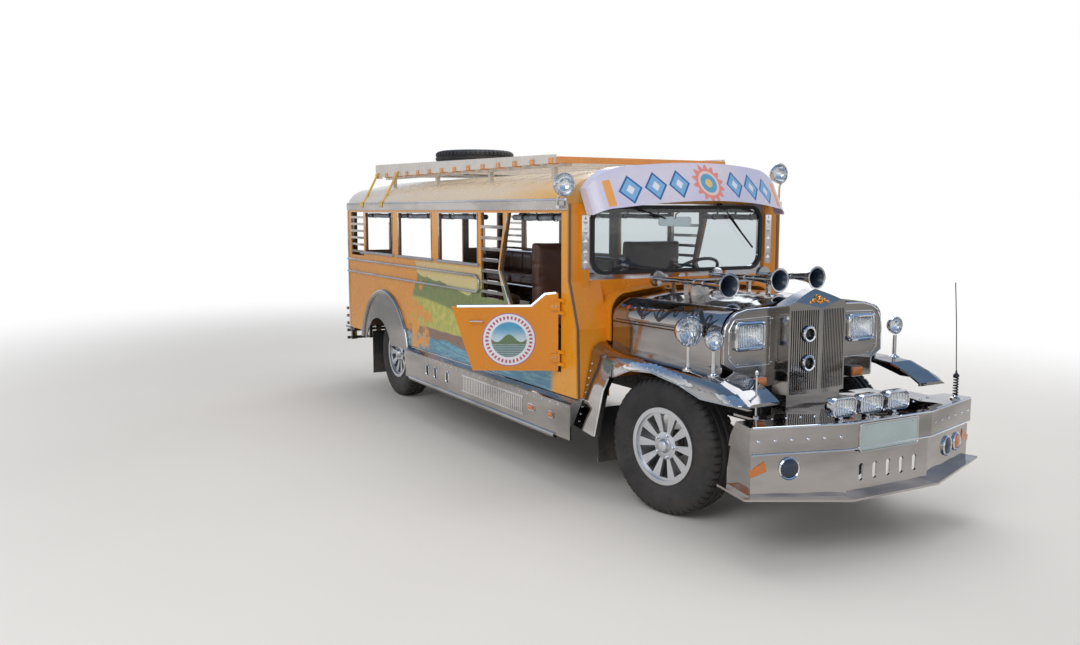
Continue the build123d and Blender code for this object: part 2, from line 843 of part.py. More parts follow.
def windshield_glass_solid():
    """The flat laminated pane."""
    return along_x(windshield_opening(0), cowl_face_x - glass_thick / 2, cowl_face_x + glass_thick / 2)


def visor_plan_edges(inset):
    """The visor's bowed front with its rounded ends, drawn from above."""
    bend = (visor_bend[0] - inset, visor_bend[1] - 0.3 * inset)
    corner = (visor_corner[0] - 0.7 * inset, visor_corner[1] - 0.7 * inset)
    end = (visor_corner_end[0], visor_corner_end[1] - inset)
    side = [ThreePointArc(bend, corner, end), Line(end, (visor_return_x, end[1]))]
    front = ThreePointArc((bend[0], -bend[1]), (visor_centre_x - inset, 0), bend)
    twins = [mirror(edge, about=Plane.XZ) for edge in side]
    return side + [front] + twins


def leaned(face, low, high):
    """A face drawn from above, made solid between two heights while it leans back."""
    start = low - visor_plan_z
    foot = Pos(-visor_lean * start, 0, low) * face
    rise = high - low
    return extrude(foot, amount=Vector(visor_lean * rise, 0, rise).length, dir=Vector(-visor_lean, 0, 1))


def visor_top_edges(inset):
    """The top line of the visor in Y and Z: one rounded end, then the crown across both sides."""
    tip, tip_z = visor_top_tip
    bend, bend_z = visor_top_bend
    middle = (visor_top_mid[0] - 0.6 * inset, visor_top_mid[1] - inset)
    end = ThreePointArc((tip, tip_z - inset), middle, (bend, bend_z - inset))
    crown = ThreePointArc((bend, bend_z - inset), (0, visor_top_z - inset), (-bend, bend_z - inset))
    return end, crown


def visor_face():
    """The visor's outline seen from the front."""
    bend, bend_z = visor_low_bend
    tip, tip_z = visor_low_tip
    end, crown = visor_top_edges(0)
    corner = ThreePointArc((bend, bend_z), visor_low_mid, (tip, tip_z))
    side = [corner, Line((tip, tip_z), visor_top_tip), end]
    foot = ThreePointArc((bend, bend_z), (0, visor_plan_z), (-bend, bend_z))
    return symmetric_outline(side, [crown, foot])


def visor_hollow_face():
    """The space under the visor's top sheet, seen from the front and open below."""
    tip, tip_z = visor_top_tip
    foot_z = visor_low_tip[1] - 100
    end, crown = visor_top_edges(visor_thick)
    side = [Line((tip, foot_z), (tip, tip_z - visor_thick)), end]
    return symmetric_outline(side, [crown, Line((-tip, foot_z), (tip, foot_z))])


def visor_body(inset, rear_x):
    """The visor's plan closed at the back and leaned through its whole height."""
    end_y = visor_corner_end[1] - inset
    back = [Line((visor_return_x, end_y), (rear_x, end_y)), Line((rear_x, end_y), (rear_x, -end_y)),
            Line((rear_x, -end_y), (visor_return_x, -end_y))]
    return leaned(make_face(visor_plan_edges(inset) + back), visor_low_tip[1] - 40, visor_top_z + 40)


def visor_solid():
    """The sun visor: a bowed sign that leans back, with side returns and a top sheet back to the roof."""
    ahead = visor_centre_x + visor_reach
    rear_x = visor_return_x - visor_reach
    full = visor_body(0, rear_x) & along_x(visor_face(), roof_front_x, ahead)
    hollow = visor_body(visor_thick, rear_x - 40) & along_x(visor_hollow_face(), roof_front_x - 10, ahead)
    cut_plan = outline((visor_return_x, -half_width), (visor_return_x, half_width), (rear_x, half_width),
                       (rear_x, -half_width))
    behind = leaned(cut_plan, visor_low_tip[1] - 40, visor_top_tip[1])
    return full - hollow - behind - roof_block(roof_front_x - visor_reach, roof_front_x)


# Trim on the side walls

def side_trim_solids():
    """The right side's valance and its looped rub rail."""
    face_y = -half_width
    valance = block(body_rear_x, post_front_x, face_y - valance_thick, face_y, valance_bottom_z,
                    valance_top_z)
    high, low = rub_rail_heights
    radius = rub_rail_radius
    rail_y = face_y - radius
    rails = [rod((body_rear_x, rail_y, z), (rub_rail_front_x, rail_y, z), radius) for z in (high, low)]
    bend = Pos(rub_rail_front_x, rail_y, (high + low) / 2) * Rot(90, 0, 0) * Torus((high - low) / 2, radius)
    loop = bend & block(rub_rail_front_x, rub_rail_front_x + high - low, rail_y - 2 * radius, face_y,
                        low - 50, high + 50)
    return [valance, fused([*rails, loop])]


def louvre_solids():
    """The slats of the right side's two louvred bays, each bay joined by upright strips."""
    strip = 20
    bays = [
        (front_louvre, front_louvre_gap(0), front_slat_heights, front_louvre_head_x),
        (rear_louvre, rear_louvre_gap(0), rear_slat_heights, rear_louvre[1]),
    ]
    pieces = []
    for (rear, _), gap, heights, front in bays:
        slats = [block(rear, front + 60, -half_width, -inner_half, z, z + slat_height) for z in heights]
        top = heights[-1] + slat_height
        upright = block(rear, rear + strip, -half_width + sheet, -inner_half, heights[0], top)
        pieces.append(fused([upright, *slats]) & gap)
    return pieces


def rear_arch_solid():
    """The bright plate round the rear wheel cut with its rolled rim."""
    face_y = -half_width
    foot = block(ring_x - 2 * ring_radius, ring_x + 2 * ring_radius, face_y - 100, face_y + 100,
                 ring_centre_z - 2 * ring_radius, ring_foot_z)
    disc = along_y(Pos(ring_x, ring_centre_z) * Circle(ring_radius), face_y - ring_plate_thick, face_y)
    cut = along_y(wheel_circle(ring_cut_radius), face_y - 100, face_y + 100)
    rim_y = face_y - ring_plate_thick
    rim = Pos(ring_x, rim_y, ring_centre_z) * Rot(90, 0, 0) * Torus(ring_radius - 6, ring_tube)
    outside = block(ring_x - 2 * ring_radius, ring_x + 2 * ring_radius, face_y - 100, face_y, ring_foot_z,
                    ring_centre_z + 2 * ring_radius)
    return (disc - foot - cut) + (rim & outside)


def running_board_solid():
    """The slotted step panel with its shelf and lower tube."""
    near, far = half_width + 4, half_width + board_reach
    skin = sheet
    section = outline((-near, board_top_z), (-far, board_top_z - board_drop), (-far, board_lip_z),
                      (-far + skin, board_lip_z), (-far + skin, board_top_z - board_drop - 7),
                      (-near, board_top_z - 14))
    panel = along_x(section, board_rear_x, corner_front_x)
    for x in board_slots:
        slot = Pos(x, board_slot_z) * SlotOverall(*board_slot, rotation=90)
        panel = panel - along_y(slot, -far - 30, -half_width)
    shelf = block(board_rear_x, corner_front_x, -near - 2, -inner_half, board_top_z - 14, board_top_z)
    tube_y = 6 - far
    tube = rod((board_rear_x + 100, tube_y, board_lip_z - 2), (corner_front_x - 200, tube_y, board_lip_z - 2),
               board_tube_radius)
    return fused([panel, shelf, tube])


def mudflap_solids():
    """Rubber flaps behind the right front and rear wheels."""
    return [block(x, x + mudflap_thick, -outer, -inner, low, high) for x, inner, outer, low, high in mudflaps]


# Nose

def grille_plan():
    """The vee-fronted shell seen from above."""
    back_x = lamp_plane_x - lamp_panel_thick
    wide = grille_half + grille_wall
    right = [(back_x, -wide), (grille_edge_x, -grille_half - 12), (grille_edge_x, -grille_half)]
    left = [(x, -y) for x, y in reversed(right)]
    return outline(*right, (grille_nose_x, 0), *left)


def grille_front_face():
    """The shell seen from the front, with its peaked cap."""
    wide = grille_half + grille_wall
    side = [
        Line((wide, grille_bottom_z), (wide, grille_shoulder_z)),
        ThreePointArc((wide, grille_shoulder_z), grille_bulge, (0, grille_peak_z)),
    ]
    return symmetric_outline(side, [Line((-wide, grille_bottom_z), (wide, grille_bottom_z))])


def grille_body():
    """The shell with its hollow back, sloped cap, bars and round ports."""
    back_x = lamp_plane_x - lamp_panel_thick
    body = along_z(grille_plan(), grille_bottom_z, grille_peak_z)
    body = body & along_x(grille_front_face(), back_x - 10, grille_nose_x + 10)
    slope = outline((grille_nose_x, grille_slope_z), (grille_peak_x, grille_peak_z),
                    (grille_peak_x, grille_peak_z + 10), (grille_nose_x + 10, grille_peak_z + 10),
                    (grille_nose_x + 10, grille_slope_z))
    body = body - along_y(slope, -2 * grille_half, 2 * grille_half)
    hollow = outline((back_x - 10, -grille_half), (grille_edge_x - grille_depth, -grille_half),
                     (grille_nose_x - grille_depth, 0), (grille_edge_x - grille_depth, grille_half),
                     (back_x - 10, grille_half))
    body = body - along_z(hollow, grille_bottom_z + 20, grille_inside_top_z + 5)
    pitch = (grille_half - grille_post_half) / grille_bars
    half_gap = pitch * grille_gap_share / 2
    for side in (-1, 1):
        for index in range(grille_bars):
            y = side * (grille_post_half + pitch * (index + 0.5))
            body = body - block(grille_edge_x - grille_depth - 10, grille_nose_x + 10, y - half_gap,
                                y + half_gap, grille_bottom_z + 24, grille_inside_top_z)
    front = grille_nose_x - 4
    for z in grille_port_heights:
        port = rod((grille_edge_x - grille_depth + 10, -grille_port_y, z), (front, -grille_port_y, z),
                   grille_port_radius)
        bore = rod((back_x, -grille_port_y, z), (front + 10, -grille_port_y, z), grille_port_bore)
        body = body + port - bore
    return body


def lamp_panel_solid():
    """The right-hand panel that carries a headlamp."""
    seam = -grille_half - 10
    foot_z = grille_bottom_z + 50
    foot_y = 4 - fender_inner_y
    (top, shoulder, side, waist) = [(-y, z) for y, z in lamp_panel_edge]
    face = make_face([
        Line((seam, foot_z), (seam, grille_shoulder_z)),
        Line((seam, grille_shoulder_z), top),
        ThreePointArc(top, shoulder, side),
        Line(side, waist),
        Line(waist, (foot_y, waist[1] - 45)),
        Line((foot_y, waist[1] - 45), (foot_y, foot_z)),
        Line((foot_y, foot_z), (seam, foot_z)),
    ])
    panel = along_x(face, lamp_plane_x - lamp_panel_thick, lamp_plane_x)
    lap = 2 * lamp_seat
    window = RectangleRounded(lamp_width - lap, lamp_height - lap, lamp_corner - lamp_seat)
    return panel - along_x(Pos(-lamp_y, lamp_z) * window, lamp_plane_x - 30, lamp_plane_x + 10)


def grille_shell_solid():
    """The grille shell with its base and the two lamp panels."""
    base = block(lamp_plane_x - lamp_panel_thick, grille_edge_x - 20, -grille_half, grille_half, bumper_top_z,
                 grille_bottom_z)
    return fused([grille_body(), base, *both_sides(lamp_panel_solid())])


def wing_form(inset):
    """The right wing's rounded form along its top line, smaller by inset, as a full body."""
    radius = fender_edge_radius - inset
    outer = fender_outer_y - inset
    inner = fender_inner_y - inset
    chamfer = radius * 0.293
    pieces = []
    for (x0, z0), (x1, z1) in zip(wing_top_line, wing_top_line[1:]):
        corner = (-outer, -inset - radius)
        section = make_face([
            Line((-inner, -inset), (radius - outer, -inset)),
            ThreePointArc((radius - outer, -inset), (chamfer - outer, -inset - chamfer), corner),
            Line(corner, (-outer, -wing_depth)),
            Line((-outer, -wing_depth), (-inner, -wing_depth)),
            Line((-inner, -wing_depth), (-inner, -inset)),
        ])
        run = Vector(x1 - x0, 0, z1 - z0)
        start = Plane(origin=(x0, 0, z0), x_dir=(0, 1, 0), z_dir=(1, 0, 0))
        pieces.append(extrude(start * section, amount=run.length, dir=run))
    rear, front = wing_top_line[0][0], wing_top_line[-1][0]
    return fused(pieces) - block(rear - cut_over, front + cut_over, -cut_far, 0, 0, wing_cut_z)


def skirt_solid():
    """The flared panel behind the right front wheel, with a flange along its front edge."""
    over = wing_arch_line[2][0]
    section = [(-fender_outer_y, skirt_top_z), (-half_width, skirt_foot_z),
               (-half_width + sheet, skirt_foot_z), (-fender_outer_y + sheet, skirt_top_z)]
    rear_top = wing_top_line[0][0]
    front_line = [skirt_front_foot, wing_arch_line[1], wing_arch_line[2], (over, skirt_top_z)]
    side = outline((rear_top, skirt_top_z), (rear_top, body_bottom_z - apron_gap), skirt_rear_foot,
                   *front_line)
    plate = along_x(outline(*section), skirt_rear_foot[0] - 10, over + 10)
    deep = [(y + skirt_flange, z) for y, z in section[:2]]
    lip = along_x(outline(section[0], section[1], deep[1], deep[0]), skirt_rear_foot[0] - 10, over + 10)
    back_line = [(x - sheet, z) for x, z in reversed(front_line)]
    flange = outline(*front_line, *back_line)
    plate = plate & along_y(side, -cut_far, -fender_inner_y)
    return plate + (lip & along_y(flange, -cut_far, -fender_inner_y))


def fender_solid():
    """The round-edged right front wing with its turned-down lip, hood apron and flared skirt."""
    rear_x, front_x = wing_top_line[0][0] + sheet, wing_top_line[-1][0] - sheet
    hollow = wing_form(sheet) & block(rear_x, front_x, -cut_far, 0, 0, cut_far)
    rear_foot = wing_arch_line[0]
    end_x, end_z = wing_lip_end
    arch = outline(*wing_arch_line, (end_x + cut_over, end_z), (end_x + cut_over, wing_cut_z - cut_over),
                   (rear_foot[0], wing_cut_z - cut_over))
    solid = wing_form(0) - hollow - along_y(arch, -fender_outer_y - cut_over, -fender_inner_y + cut_over)
    over = wing_arch_line[2][0]
    solid = solid - block(rear_x - 60, over, -fender_outer_y - cut_over, -fender_inner_y,
                          wing_cut_z - cut_over, skirt_top_z - skirt_lap)
    plan = outline((hood_front_x, -hood_half_front), (hood_rear_x, -hood_half_rear),
                   (hood_rear_x, -hood_half_rear + sheet), (hood_front_x, -hood_half_front + sheet))
    apron = along_z(plan, apron_bottom_z, hood_side_z - apron_gap) - wing_form(0)
    return fused([solid, apron, skirt_solid()])


def bumper_plan(grow, back):
    """The bumper's outline from above, moved outward by grow."""
    right = [
        (back, -bumper_wing_y - grow), (bumper_wing_x, -bumper_wing_y - grow),
        (bumper_end_x + grow * 0.5, -bumper_end_y - grow),
        (bumper_nose_x + grow, -bumper_nose_half - grow * 0.4),
    ]
    left = [(x, -y) for x, y in reversed(right)]
    return outline(*right, *left)


def bumper_lip_solid():
    """The plate along the bumper's foot: a level centre and two rising ends."""
    back = bumper_back_x + bumper_apron_back
    plate = along_z(bumper_plan(bumper_lip_reach, back), bumper_lip_z - bumper_lip_thick, bumper_lip_z)
    inside = bumper_plan(-40, back - 2 * bumper_apron_back)
    plate = plate - along_z(inside, bumper_lip_z - 20, bumper_lip_z + 1)
    half = bumper_nose_half
    centre = plate & block(0, cut_far, -half, half, 0, cut_far)
    end = plate & block(0, cut_far, -cut_far, -half, 0, cut_far)
    hinge = Pos(0, -half, bumper_lip_z - bumper_lip_thick)
    end = hinge * Rot(-bumper_lip_slope, 0, 0) * hinge.inverse() * end
    return fused([centre, *both_sides(end)])


def bumper_solid():
    """The boxed bumper: upper band with its deck, recessed apron and a lip plate."""
    inside = bumper_back_x - 10
    back = bumper_back_x + bumper_apron_back
    inset = -bumper_apron_inset
    band = along_z(bumper_plan(0, bumper_back_x), bumper_band_z, bumper_top_z)
    band = band - along_z(bumper_plan(-sheet, inside), bumper_band_z - cut_over, bumper_top_z - sheet)
    apron = along_z(bumper_plan(inset, back), bumper_lip_z, bumper_band_z)
    apron = apron - along_z(bumper_plan(inset - sheet, inside), bumper_lip_z - cut_over,
                            bumper_band_z + cut_over)
    for y in bumper_slots:
        slot = Pos(y, bumper_slot_z) * SlotOverall(*bumper_slot, rotation=90)
        apron = apron - along_x(slot, bumper_nose_x - bumper_shelf_width, bumper_nose_x + 10)
    far = bumper_end_y + 60
    rise = bumper_lip_end_rise * (far - bumper_nose_half) / (bumper_end_y - bumper_nose_half)
    wedge = along_x(outline((-bumper_nose_half, bumper_lip_z - 1), (-bumper_nose_half, bumper_lip_z - 0.5),
                            (-far, bumper_lip_z + rise - 0.5), (-far, bumper_lip_z - 1)), 0, cut_far)
    apron = apron - wedge - mirrored(wedge)
    shelf = along_z(bumper_plan(0, back), bumper_band_z, bumper_band_z + 8)
    shelf = shelf - along_z(bumper_plan(-bumper_shelf_width, inside), bumper_band_z - 2, bumper_band_z + 10)
    high_x, high_z = bumper_tail_line[0]
    low_z = bumper_tail_line[-1][1]
    behind = outline((inside, high_z), (high_x, high_z), *bumper_tail_line[1:], (inside, low_z))
    tail = along_y(behind, -cut_far, -bumper_tail_y)
    panels = fused([band, apron, shelf]) - tail - mirrored(tail)
    deck = block(lamp_plane_x - lamp_panel_thick, bumper_back_x + 20, -fender_inner_y, fender_inner_y,
                 bumper_top_z - sheet, bumper_top_z)
    return fused([panels, bumper_lip_solid(), deck])


def box_of(ranges):
    """A block from its X, Y and Z ranges."""
    x, y, z = ranges
    return block(*x, *y, *z)


def bowl_lamp_solid(x, y, z, radius):
    """A round lamp on a stalk that stands on the right wing."""
    stalk = rod((x, -y, wing_cut_z), (x, -y, z), wing_stalk_radius) - wing_form(0)
    standing = max(stalk.solids(), key=lambda piece: piece.center().Z)
    return Pos(x, -y, z) * Sphere(radius) + standing


def roof_bowl_solid(side, x, y, z):
    """An open bowl beside the roof's front corner, on an arm from the valance."""
    foot_z = valance_bottom_z + 10
    bowl = Pos(x, side * y, z) * (Sphere(roof_bowl_radius) - Pos(roof_bowl_mouth, 0, 0)
                                  * Sphere(roof_bowl_radius - roof_bowl_wall))
    arm_x = post_rear_x + 20
    near, far = side * (half_width + valance_thick), side * (y + roof_stalk_radius)
    arm = block(arm_x - 12, arm_x + 12, near, far, foot_z, foot_z + 20)
    stalk = rod((arm_x, side * y, foot_z + 2), (arm_x, side * y, z - 40), roof_stalk_radius)
    reach = rod((arm_x, side * y, z - 40), (x - 20, side * y, z - roof_bowl_radius + roof_bowl_wall + 4),
                roof_stalk_radius)
    joint = Pos(arm_x, side * y, z - 40) * Sphere(roof_stalk_radius)
    return fused([bowl, arm, stalk, joint, reach])


def lamp_solids():
    """Headlamps, amber lamps, tail lamps, fog lamps, wing lamps and the bowls beside the roof."""
    headlamp = Pos(-lamp_y, lamp_z) * RectangleRounded(lamp_width, lamp_height, lamp_corner)
    pieces = both_sides(along_x(headlamp, lamp_plane_x, lamp_plane_x + lamp_depth), box_of(amber_lamp),
                        box_of(tail_lamp))
    low, high = fog_lamp_height
    foot_x = sum(fog_lamp_x) / 2
    for y in fog_lamp_rows:
        case = block(*fog_lamp_x, y - fog_lamp_half, y + fog_lamp_half, bumper_top_z + low,
                     bumper_top_z + high)
        foot = block(foot_x - fog_foot_half, foot_x + fog_foot_half, y - fog_foot_half, y + fog_foot_half,
                     bumper_top_z, bumper_top_z + low)
        pieces.append(case + foot)
    for row in wing_lamps:
        pieces += both_sides(bowl_lamp_solid(*row))
    return pieces + [roof_bowl_solid(*row) for row in roof_bowls]


def horn_solids():
    """Three trumpets on two cross bars whose feet stand on the lid."""
    rear = horn_rear_x
    pieces = []
    for y, z, bell in horns:
        profile = outline(
            (rear - 20, 0), (rear - 20, 52), (rear + 12, 52), (rear + 12, 12), (bell - 240, 18),
            (bell - 90, 34), (bell - 25, 55), (bell, horn_bell_radius), (bell, horn_bell_radius - 10),
            (bell - 90, 24), (bell - 200, 8), (bell - 200, 0))
        pieces.append(Pos(0, y, z) * revolve(Plane.XY * profile, axis=Axis.X))
    half = horn_bar_half
    lid = Pos(0, 0, horn_foot_gap) * hood_block()
    foot = horn_foot_half
    for x in horn_bar_stations:
        pieces.append(block(x - half, x + half, *horn_bar_y, *horn_bar_z))
        for y in (-horn_foot_y, horn_foot_y):
            leg = block(x - foot, x + foot, y - foot, y + foot, hood_top_z - 40, horn_bar_z[0] + 4)
            pieces.append(leg - lid)
    return fused(pieces)


# Doors

def door_solid(side, angle):
    """A half door with a finned rear edge, swung open by angle about its hinge."""
    front = -door_front_gap
    shape = outline(
        (front, door_bottom_z), (-door_foot_length, door_bottom_z), (-door_fin_length, door_fin_z),
        (-door_step_start, door_fin_z + door_step_rise), (-door_step_end, door_post_z - 8),
        (front, door_post_z))
    whole = along_y(shape, hinge_stand_off, hinge_stand_off + door_thick)
    half = hinge_length / 2
    for z in hinge_heights:
        tube = Pos(0, 0, z) * Cylinder(hinge_radius, hinge_length)
        leaf = block(-hinge_leaf, 0, 2, hinge_stand_off + 2, z - half + 2, z + half - 2)
        bore = Pos(0, 0, z) * Cylinder(hinge_pin_radius + running_clearance, hinge_length + 2)
        whole = whole + tube + leaf - bore
    if side > 0:
        whole = mirrored(whole)
    return Pos(hinge_x, side * (half_width + hinge_stand_off), 0) * Rot(0, 0, -side * angle) * whole


# Inside

def bench_solid():
    """The right-hand bench: cushion, back and the board below, open over the wheel box."""
    rear, front = bench_x
    low, high = bench_seat_z
    outer = inner_half - seat_gap
    cushion = block(rear, front, -outer, -bench_front_y, low, high)
    back = block(rear, front, -outer, -outer + bench_back_thick, high, bench_back_top_z)
    near = bench_front_y + seat_gap
    boards = [block(x0, x1, -near - bench_board_thick, -near, floor_top_z, low)
              for x0, x1 in bench_board_ranges]
    return fused([cushion, back, *boards])


def front_seat_solid():
    """The right-hand front seat: base, cushion and back."""
    near, far = front_seat_y
    low, high = front_seat_cushion_z
    base = block(*front_seat_base_x, -far, -near, floor_top_z, low)
    cushion = block(*front_seat_cushion_x, -far, -near, low, high)
    back = block(*front_seat_back_x, -far, -near, low, front_seat_back_top_z)
    return fused([base, cushion, back])


def dashboard_solid():
    """The panel behind the firewall."""
    return along_y(outline(*dash_line), -dash_half, dash_half)


def steering_wheel_solid():
    """The wheel, its hub and the column."""
    length = steering_column_length
    rim = Torus(steering_radius, steering_grip)
    hub = Cylinder(steering_hub_radius, 40)
    spoke = Pos(steering_radius / 2, 0, 0) * Box(steering_radius, 20, 8)
    spokes = [Rot(0, 0, angle) * spoke for angle in (90, 210, 330)]
    column = Pos(0, 0, -length / 2) * Cylinder(steering_column_radius, length)
    return Pos(*steering_centre) * Rot(0, -steering_tilt, 0) * fused([rim, hub, column, *spokes])


def curtain_solids():
    """Rolled window covers under the right-hand valance."""
    y = -inner_half + curtain_radius + 4
    return [rod((rear, y, curtain_z), (front, y, curtain_z), curtain_radius)
            for rear, front in curtain_ranges]


# Roof rack, rear step and drive

def rack_solid():
    """Cross slats on two bearers with feet on the roof and tapered side boards."""
    pieces = []
    low = rack_deck_z - rack_slat_thick
    half = rack_slat_half
    first = rack_rear_x + half + 5
    pitch = (rack_front_x - half - 5 - first) / (rack_slats - 1)
    for index in range(rack_slats):
        x = first + pitch * index
        pieces.append(block(x - half, x + half, -rack_half, rack_half, low, rack_deck_z))
    y = rack_bearer_y
    wide = rack_bearer_half
    bearer = block(rack_rear_x, rack_front_x, -y - wide, -y + wide, low - 30, low)
    rear_top, front_top = rack_board_top_z
    side = outline((rack_rear_x, rack_board_foot_z), (rack_rear_x, rear_top), (rack_front_x, front_top),
                   (rack_front_x, rack_board_foot_z))
    board = along_y(side, -rack_half - rack_board_thick, -rack_half)
    feet = [block(x - wide, x + wide, -y - 16, -y + 16, roof_crown_z - 90, low - 20)
            - roof_block(x - 2 * wide, x + 2 * wide) for x in rack_foot_stations]
    return fused(pieces + both_sides(bearer, board, *feet))


def rear_bumper_solid():
    """The boarding step with barred corner guards."""
    pieces = [block(body_rear_x - step_depth, body_rear_x, -half_width, half_width, *step_z)]
    near, far = guard_bar_y
    outer, inner = guard_bar_x
    for z in guard_bar_heights:
        bar = block(body_rear_x - outer, body_rear_x - inner, -far, -near, z, z + guard_bar_height)
        pieces += both_sides(bar)
    top = guard_bar_heights[-1] + guard_bar_height
    for y in guard_post_rows:
        post = block(body_rear_x - inner - 4, body_rear_x, -y - guard_post_half, -y + guard_post_half,
                     guard_bar_heights[0], top)
        pieces += both_sides(post)
    return fused(pieces)


def engine_solid():
    """The engine and gearbox as one plain block."""
    rear, front = engine_x
    engine = block(rear, front, -engine_half, engine_half, *engine_z)
    return engine + block(gearbox_end_x, rear, -gearbox_half, gearbox_half, *gearbox_z)


def drive_shaft_solid():
    """The shaft from the gearbox to the rear axle."""
    rear = (rear_axle_x + differential_radius + 40, 0, tyre_radius + 20)
    shaft = rod((gearbox_end_x, 0, drive_shaft_z), rear, drive_shaft_radius)
    return shaft - rear_axle_solid() - engine_solid()


def spring_solids():
    """The four leaf packs."""
    front = spring_solid(0, front_spring_reach, tyre_radius + axle_half_height)
    rear = spring_solid(rear_axle_x, rear_spring_reach, tyre_radius + axle_tube_radius)
    return both_sides(front, rear)


def spare_tyre_solid():
    """The spare, flat on the rack."""
    tyre = tyre_solid(spare_radius, spare_width, spare_bead_radius)
    return Pos(spare_x, 0, rack_deck_z + spare_width / 2 + spare_gap) * Rot(90, 0, 0) * tyre


def save_wheels():
    """Write the tyre and rim of each wheel, and the front knuckles."""
    tyre = tyre_solid(tyre_radius, tyre_width, tyre_bead_radius)
    rim = rim_solid(tyre_bead_radius, tyre_width, spindle_radius + running_clearance)
    for side, tag in ((-1, "right"), (1, "left")):
        for kind, shape in (("tyre", tyre), ("rim", rim)):
            save(f"{kind}_front_{tag}", wheel_at(shape, side, 0, parked_steer))
            save(f"{kind}_rear_{tag}", wheel_at(shape, side, rear_axle_x))
        save(f"knuckle_{tag}", knuckle_solid(side))


def build():
    """Write every node."""
    os.makedirs("parts", exist_ok=True)
    save("chassis_rails", both_sides(rail_solid()))
    save("cross_members", cross_member_solids())
    save("engine_block", engine_solid())
    save("drive_shaft", drive_shaft_solid())
    save("front_axle", front_axle_solid())
    save("rear_axle", rear_axle_solid())
    save("leaf_springs", spring_solids())
    save("floor", floor_solid())
    save("body_sides", both_sides(side_solid()))
    save("rear_wall", rear_wall_solid())
    save("cowl", cowl_solid())
    save("windshield_frame", windshield_frame_solid())
    save("windshield_glass", windshield_glass_solid())
    save("visor", visor_solid())
    save("roof", roof_solid())
    save("side_trim", both_sides(*side_trim_solids()))
    save("louvres", both_sides(*louvre_solids()))
    save("rear_arches", both_sides(rear_arch_solid()))
    save("running_boards", both_sides(running_board_solid()))
    save("front_fenders", both_sides(fender_solid()))
    save("mudflaps", both_sides(*mudflap_solids()))
    save("hood", hood_solid())
    save("air_horns", horn_solids())
    save("grille_shell", grille_shell_solid())
    save("lamps", lamp_solids())
    save("front_bumper", bumper_solid())
    save("rear_bumper", rear_bumper_solid())
    save("door_right", door_solid(-1, door_open_angle))
    save("door_left", door_solid(1, 0))
    save("seats", both_sides(bench_solid(), front_seat_solid()))
    save("dashboard", dashboard_solid())
    save("steering_wheel", steering_wheel_solid())
    save("curtains", both_sides(*curtain_solids()))
    save("roof_rack", rack_solid())
    save("spare_tyre", spare_tyre_solid())
    save_wheels()


build()
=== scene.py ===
"""Looks of a long-bodied passenger jeepney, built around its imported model.

Metres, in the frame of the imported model: +X forward, +Y to the vehicle's left, +Z up.
"""

import math

import bmesh
import bpy
from mathutils import Matrix, Vector, kdtree


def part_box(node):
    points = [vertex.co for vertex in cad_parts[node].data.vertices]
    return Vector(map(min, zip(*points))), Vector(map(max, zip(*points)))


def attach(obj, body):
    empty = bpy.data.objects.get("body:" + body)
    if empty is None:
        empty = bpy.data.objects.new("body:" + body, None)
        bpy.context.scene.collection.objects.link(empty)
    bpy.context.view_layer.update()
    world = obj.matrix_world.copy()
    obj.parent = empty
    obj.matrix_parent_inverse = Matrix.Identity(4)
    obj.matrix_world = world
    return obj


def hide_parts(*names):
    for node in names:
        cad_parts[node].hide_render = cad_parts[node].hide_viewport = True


bl_info = {
    "name": "Jeepney finisher",
    "version": (1, 0, 0),
    "blender": (4, 5, 0),
    "location": "3D View > Sidebar > Jeepney",
    "description": "Dresses the packed model of a long-bodied passenger jeepney",
    "category": "Object",
}

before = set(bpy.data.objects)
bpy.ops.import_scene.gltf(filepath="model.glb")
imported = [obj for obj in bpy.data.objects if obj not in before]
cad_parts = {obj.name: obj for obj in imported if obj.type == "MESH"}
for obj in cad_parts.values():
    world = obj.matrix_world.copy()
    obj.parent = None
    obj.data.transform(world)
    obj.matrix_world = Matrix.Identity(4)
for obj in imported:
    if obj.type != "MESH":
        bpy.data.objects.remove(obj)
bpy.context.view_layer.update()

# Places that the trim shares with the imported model
WHEELBASE = 4.45
HALF_WIDTH = 0.932
TYRE_LOW, TYRE_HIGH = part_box("tyre_rear_right")
TYRE_RADIUS = (TYRE_HIGH.z - TYRE_LOW.z) / 2
TYRE_HALF_WIDTH = (TYRE_HIGH.y - TYRE_LOW.y) / 2
WHEEL_PLANE_Y = -(TYRE_HIGH.y + TYRE_LOW.y) / 2
KINGPIN_Y = 0.59
PARKED_STEER = math.radians(12)
BEAD_RADIUS = 0.226
DOOR_HINGE = (-0.862, 0.946)
DOOR_OPEN = math.radians(60)
LAMP_FACE_X = 0.468
SPARE_LOW, SPARE_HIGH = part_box("spare_tyre")
SPARE_BEAD = 0.21
ROUNDEL_RADIUS = 0.182
REAR_X = -5.34
WINDOWS = [(-4.792, -4.02), (-3.865, -3.075), (-2.92, -2.15)]
SLOTS = (-3.08, -2.9, -2.65)
MUDFLAPS = [(-0.6, 0.6, 0.8, 0.19, 0.56), (-5.01, 0.54, 0.8, 0.15, 0.6)]
WING_TOP = [(-0.653, 0.992), (-0.487, 0.962), (0.162, 0.945), (0.475, 0.938), (0.62, 0.928), (0.745, 0.885),
            (0.85, 0.83)]
WING_LIP = [(-0.402, 0.791), (-0.2, 0.868), (0.012, 0.885), (0.29, 0.855), (0.494, 0.805), (0.85, 0.812)]
WING_EDGE = 0.09
ARCH_SHIFT = 0.18
ARCH_RADIUS = 0.63
WING_OUTER = 0.82
WING_LAMPS = [(0.28, 0.742, 1.165, 0.086), (0.5, 0.735, 1.135, 0.054)]
HOOD_ENDS = ((-0.592, 0.69), (0.44, 0.635))
HOOD_CORNER = 0.14
HOOD_SHOULDER = 1.155
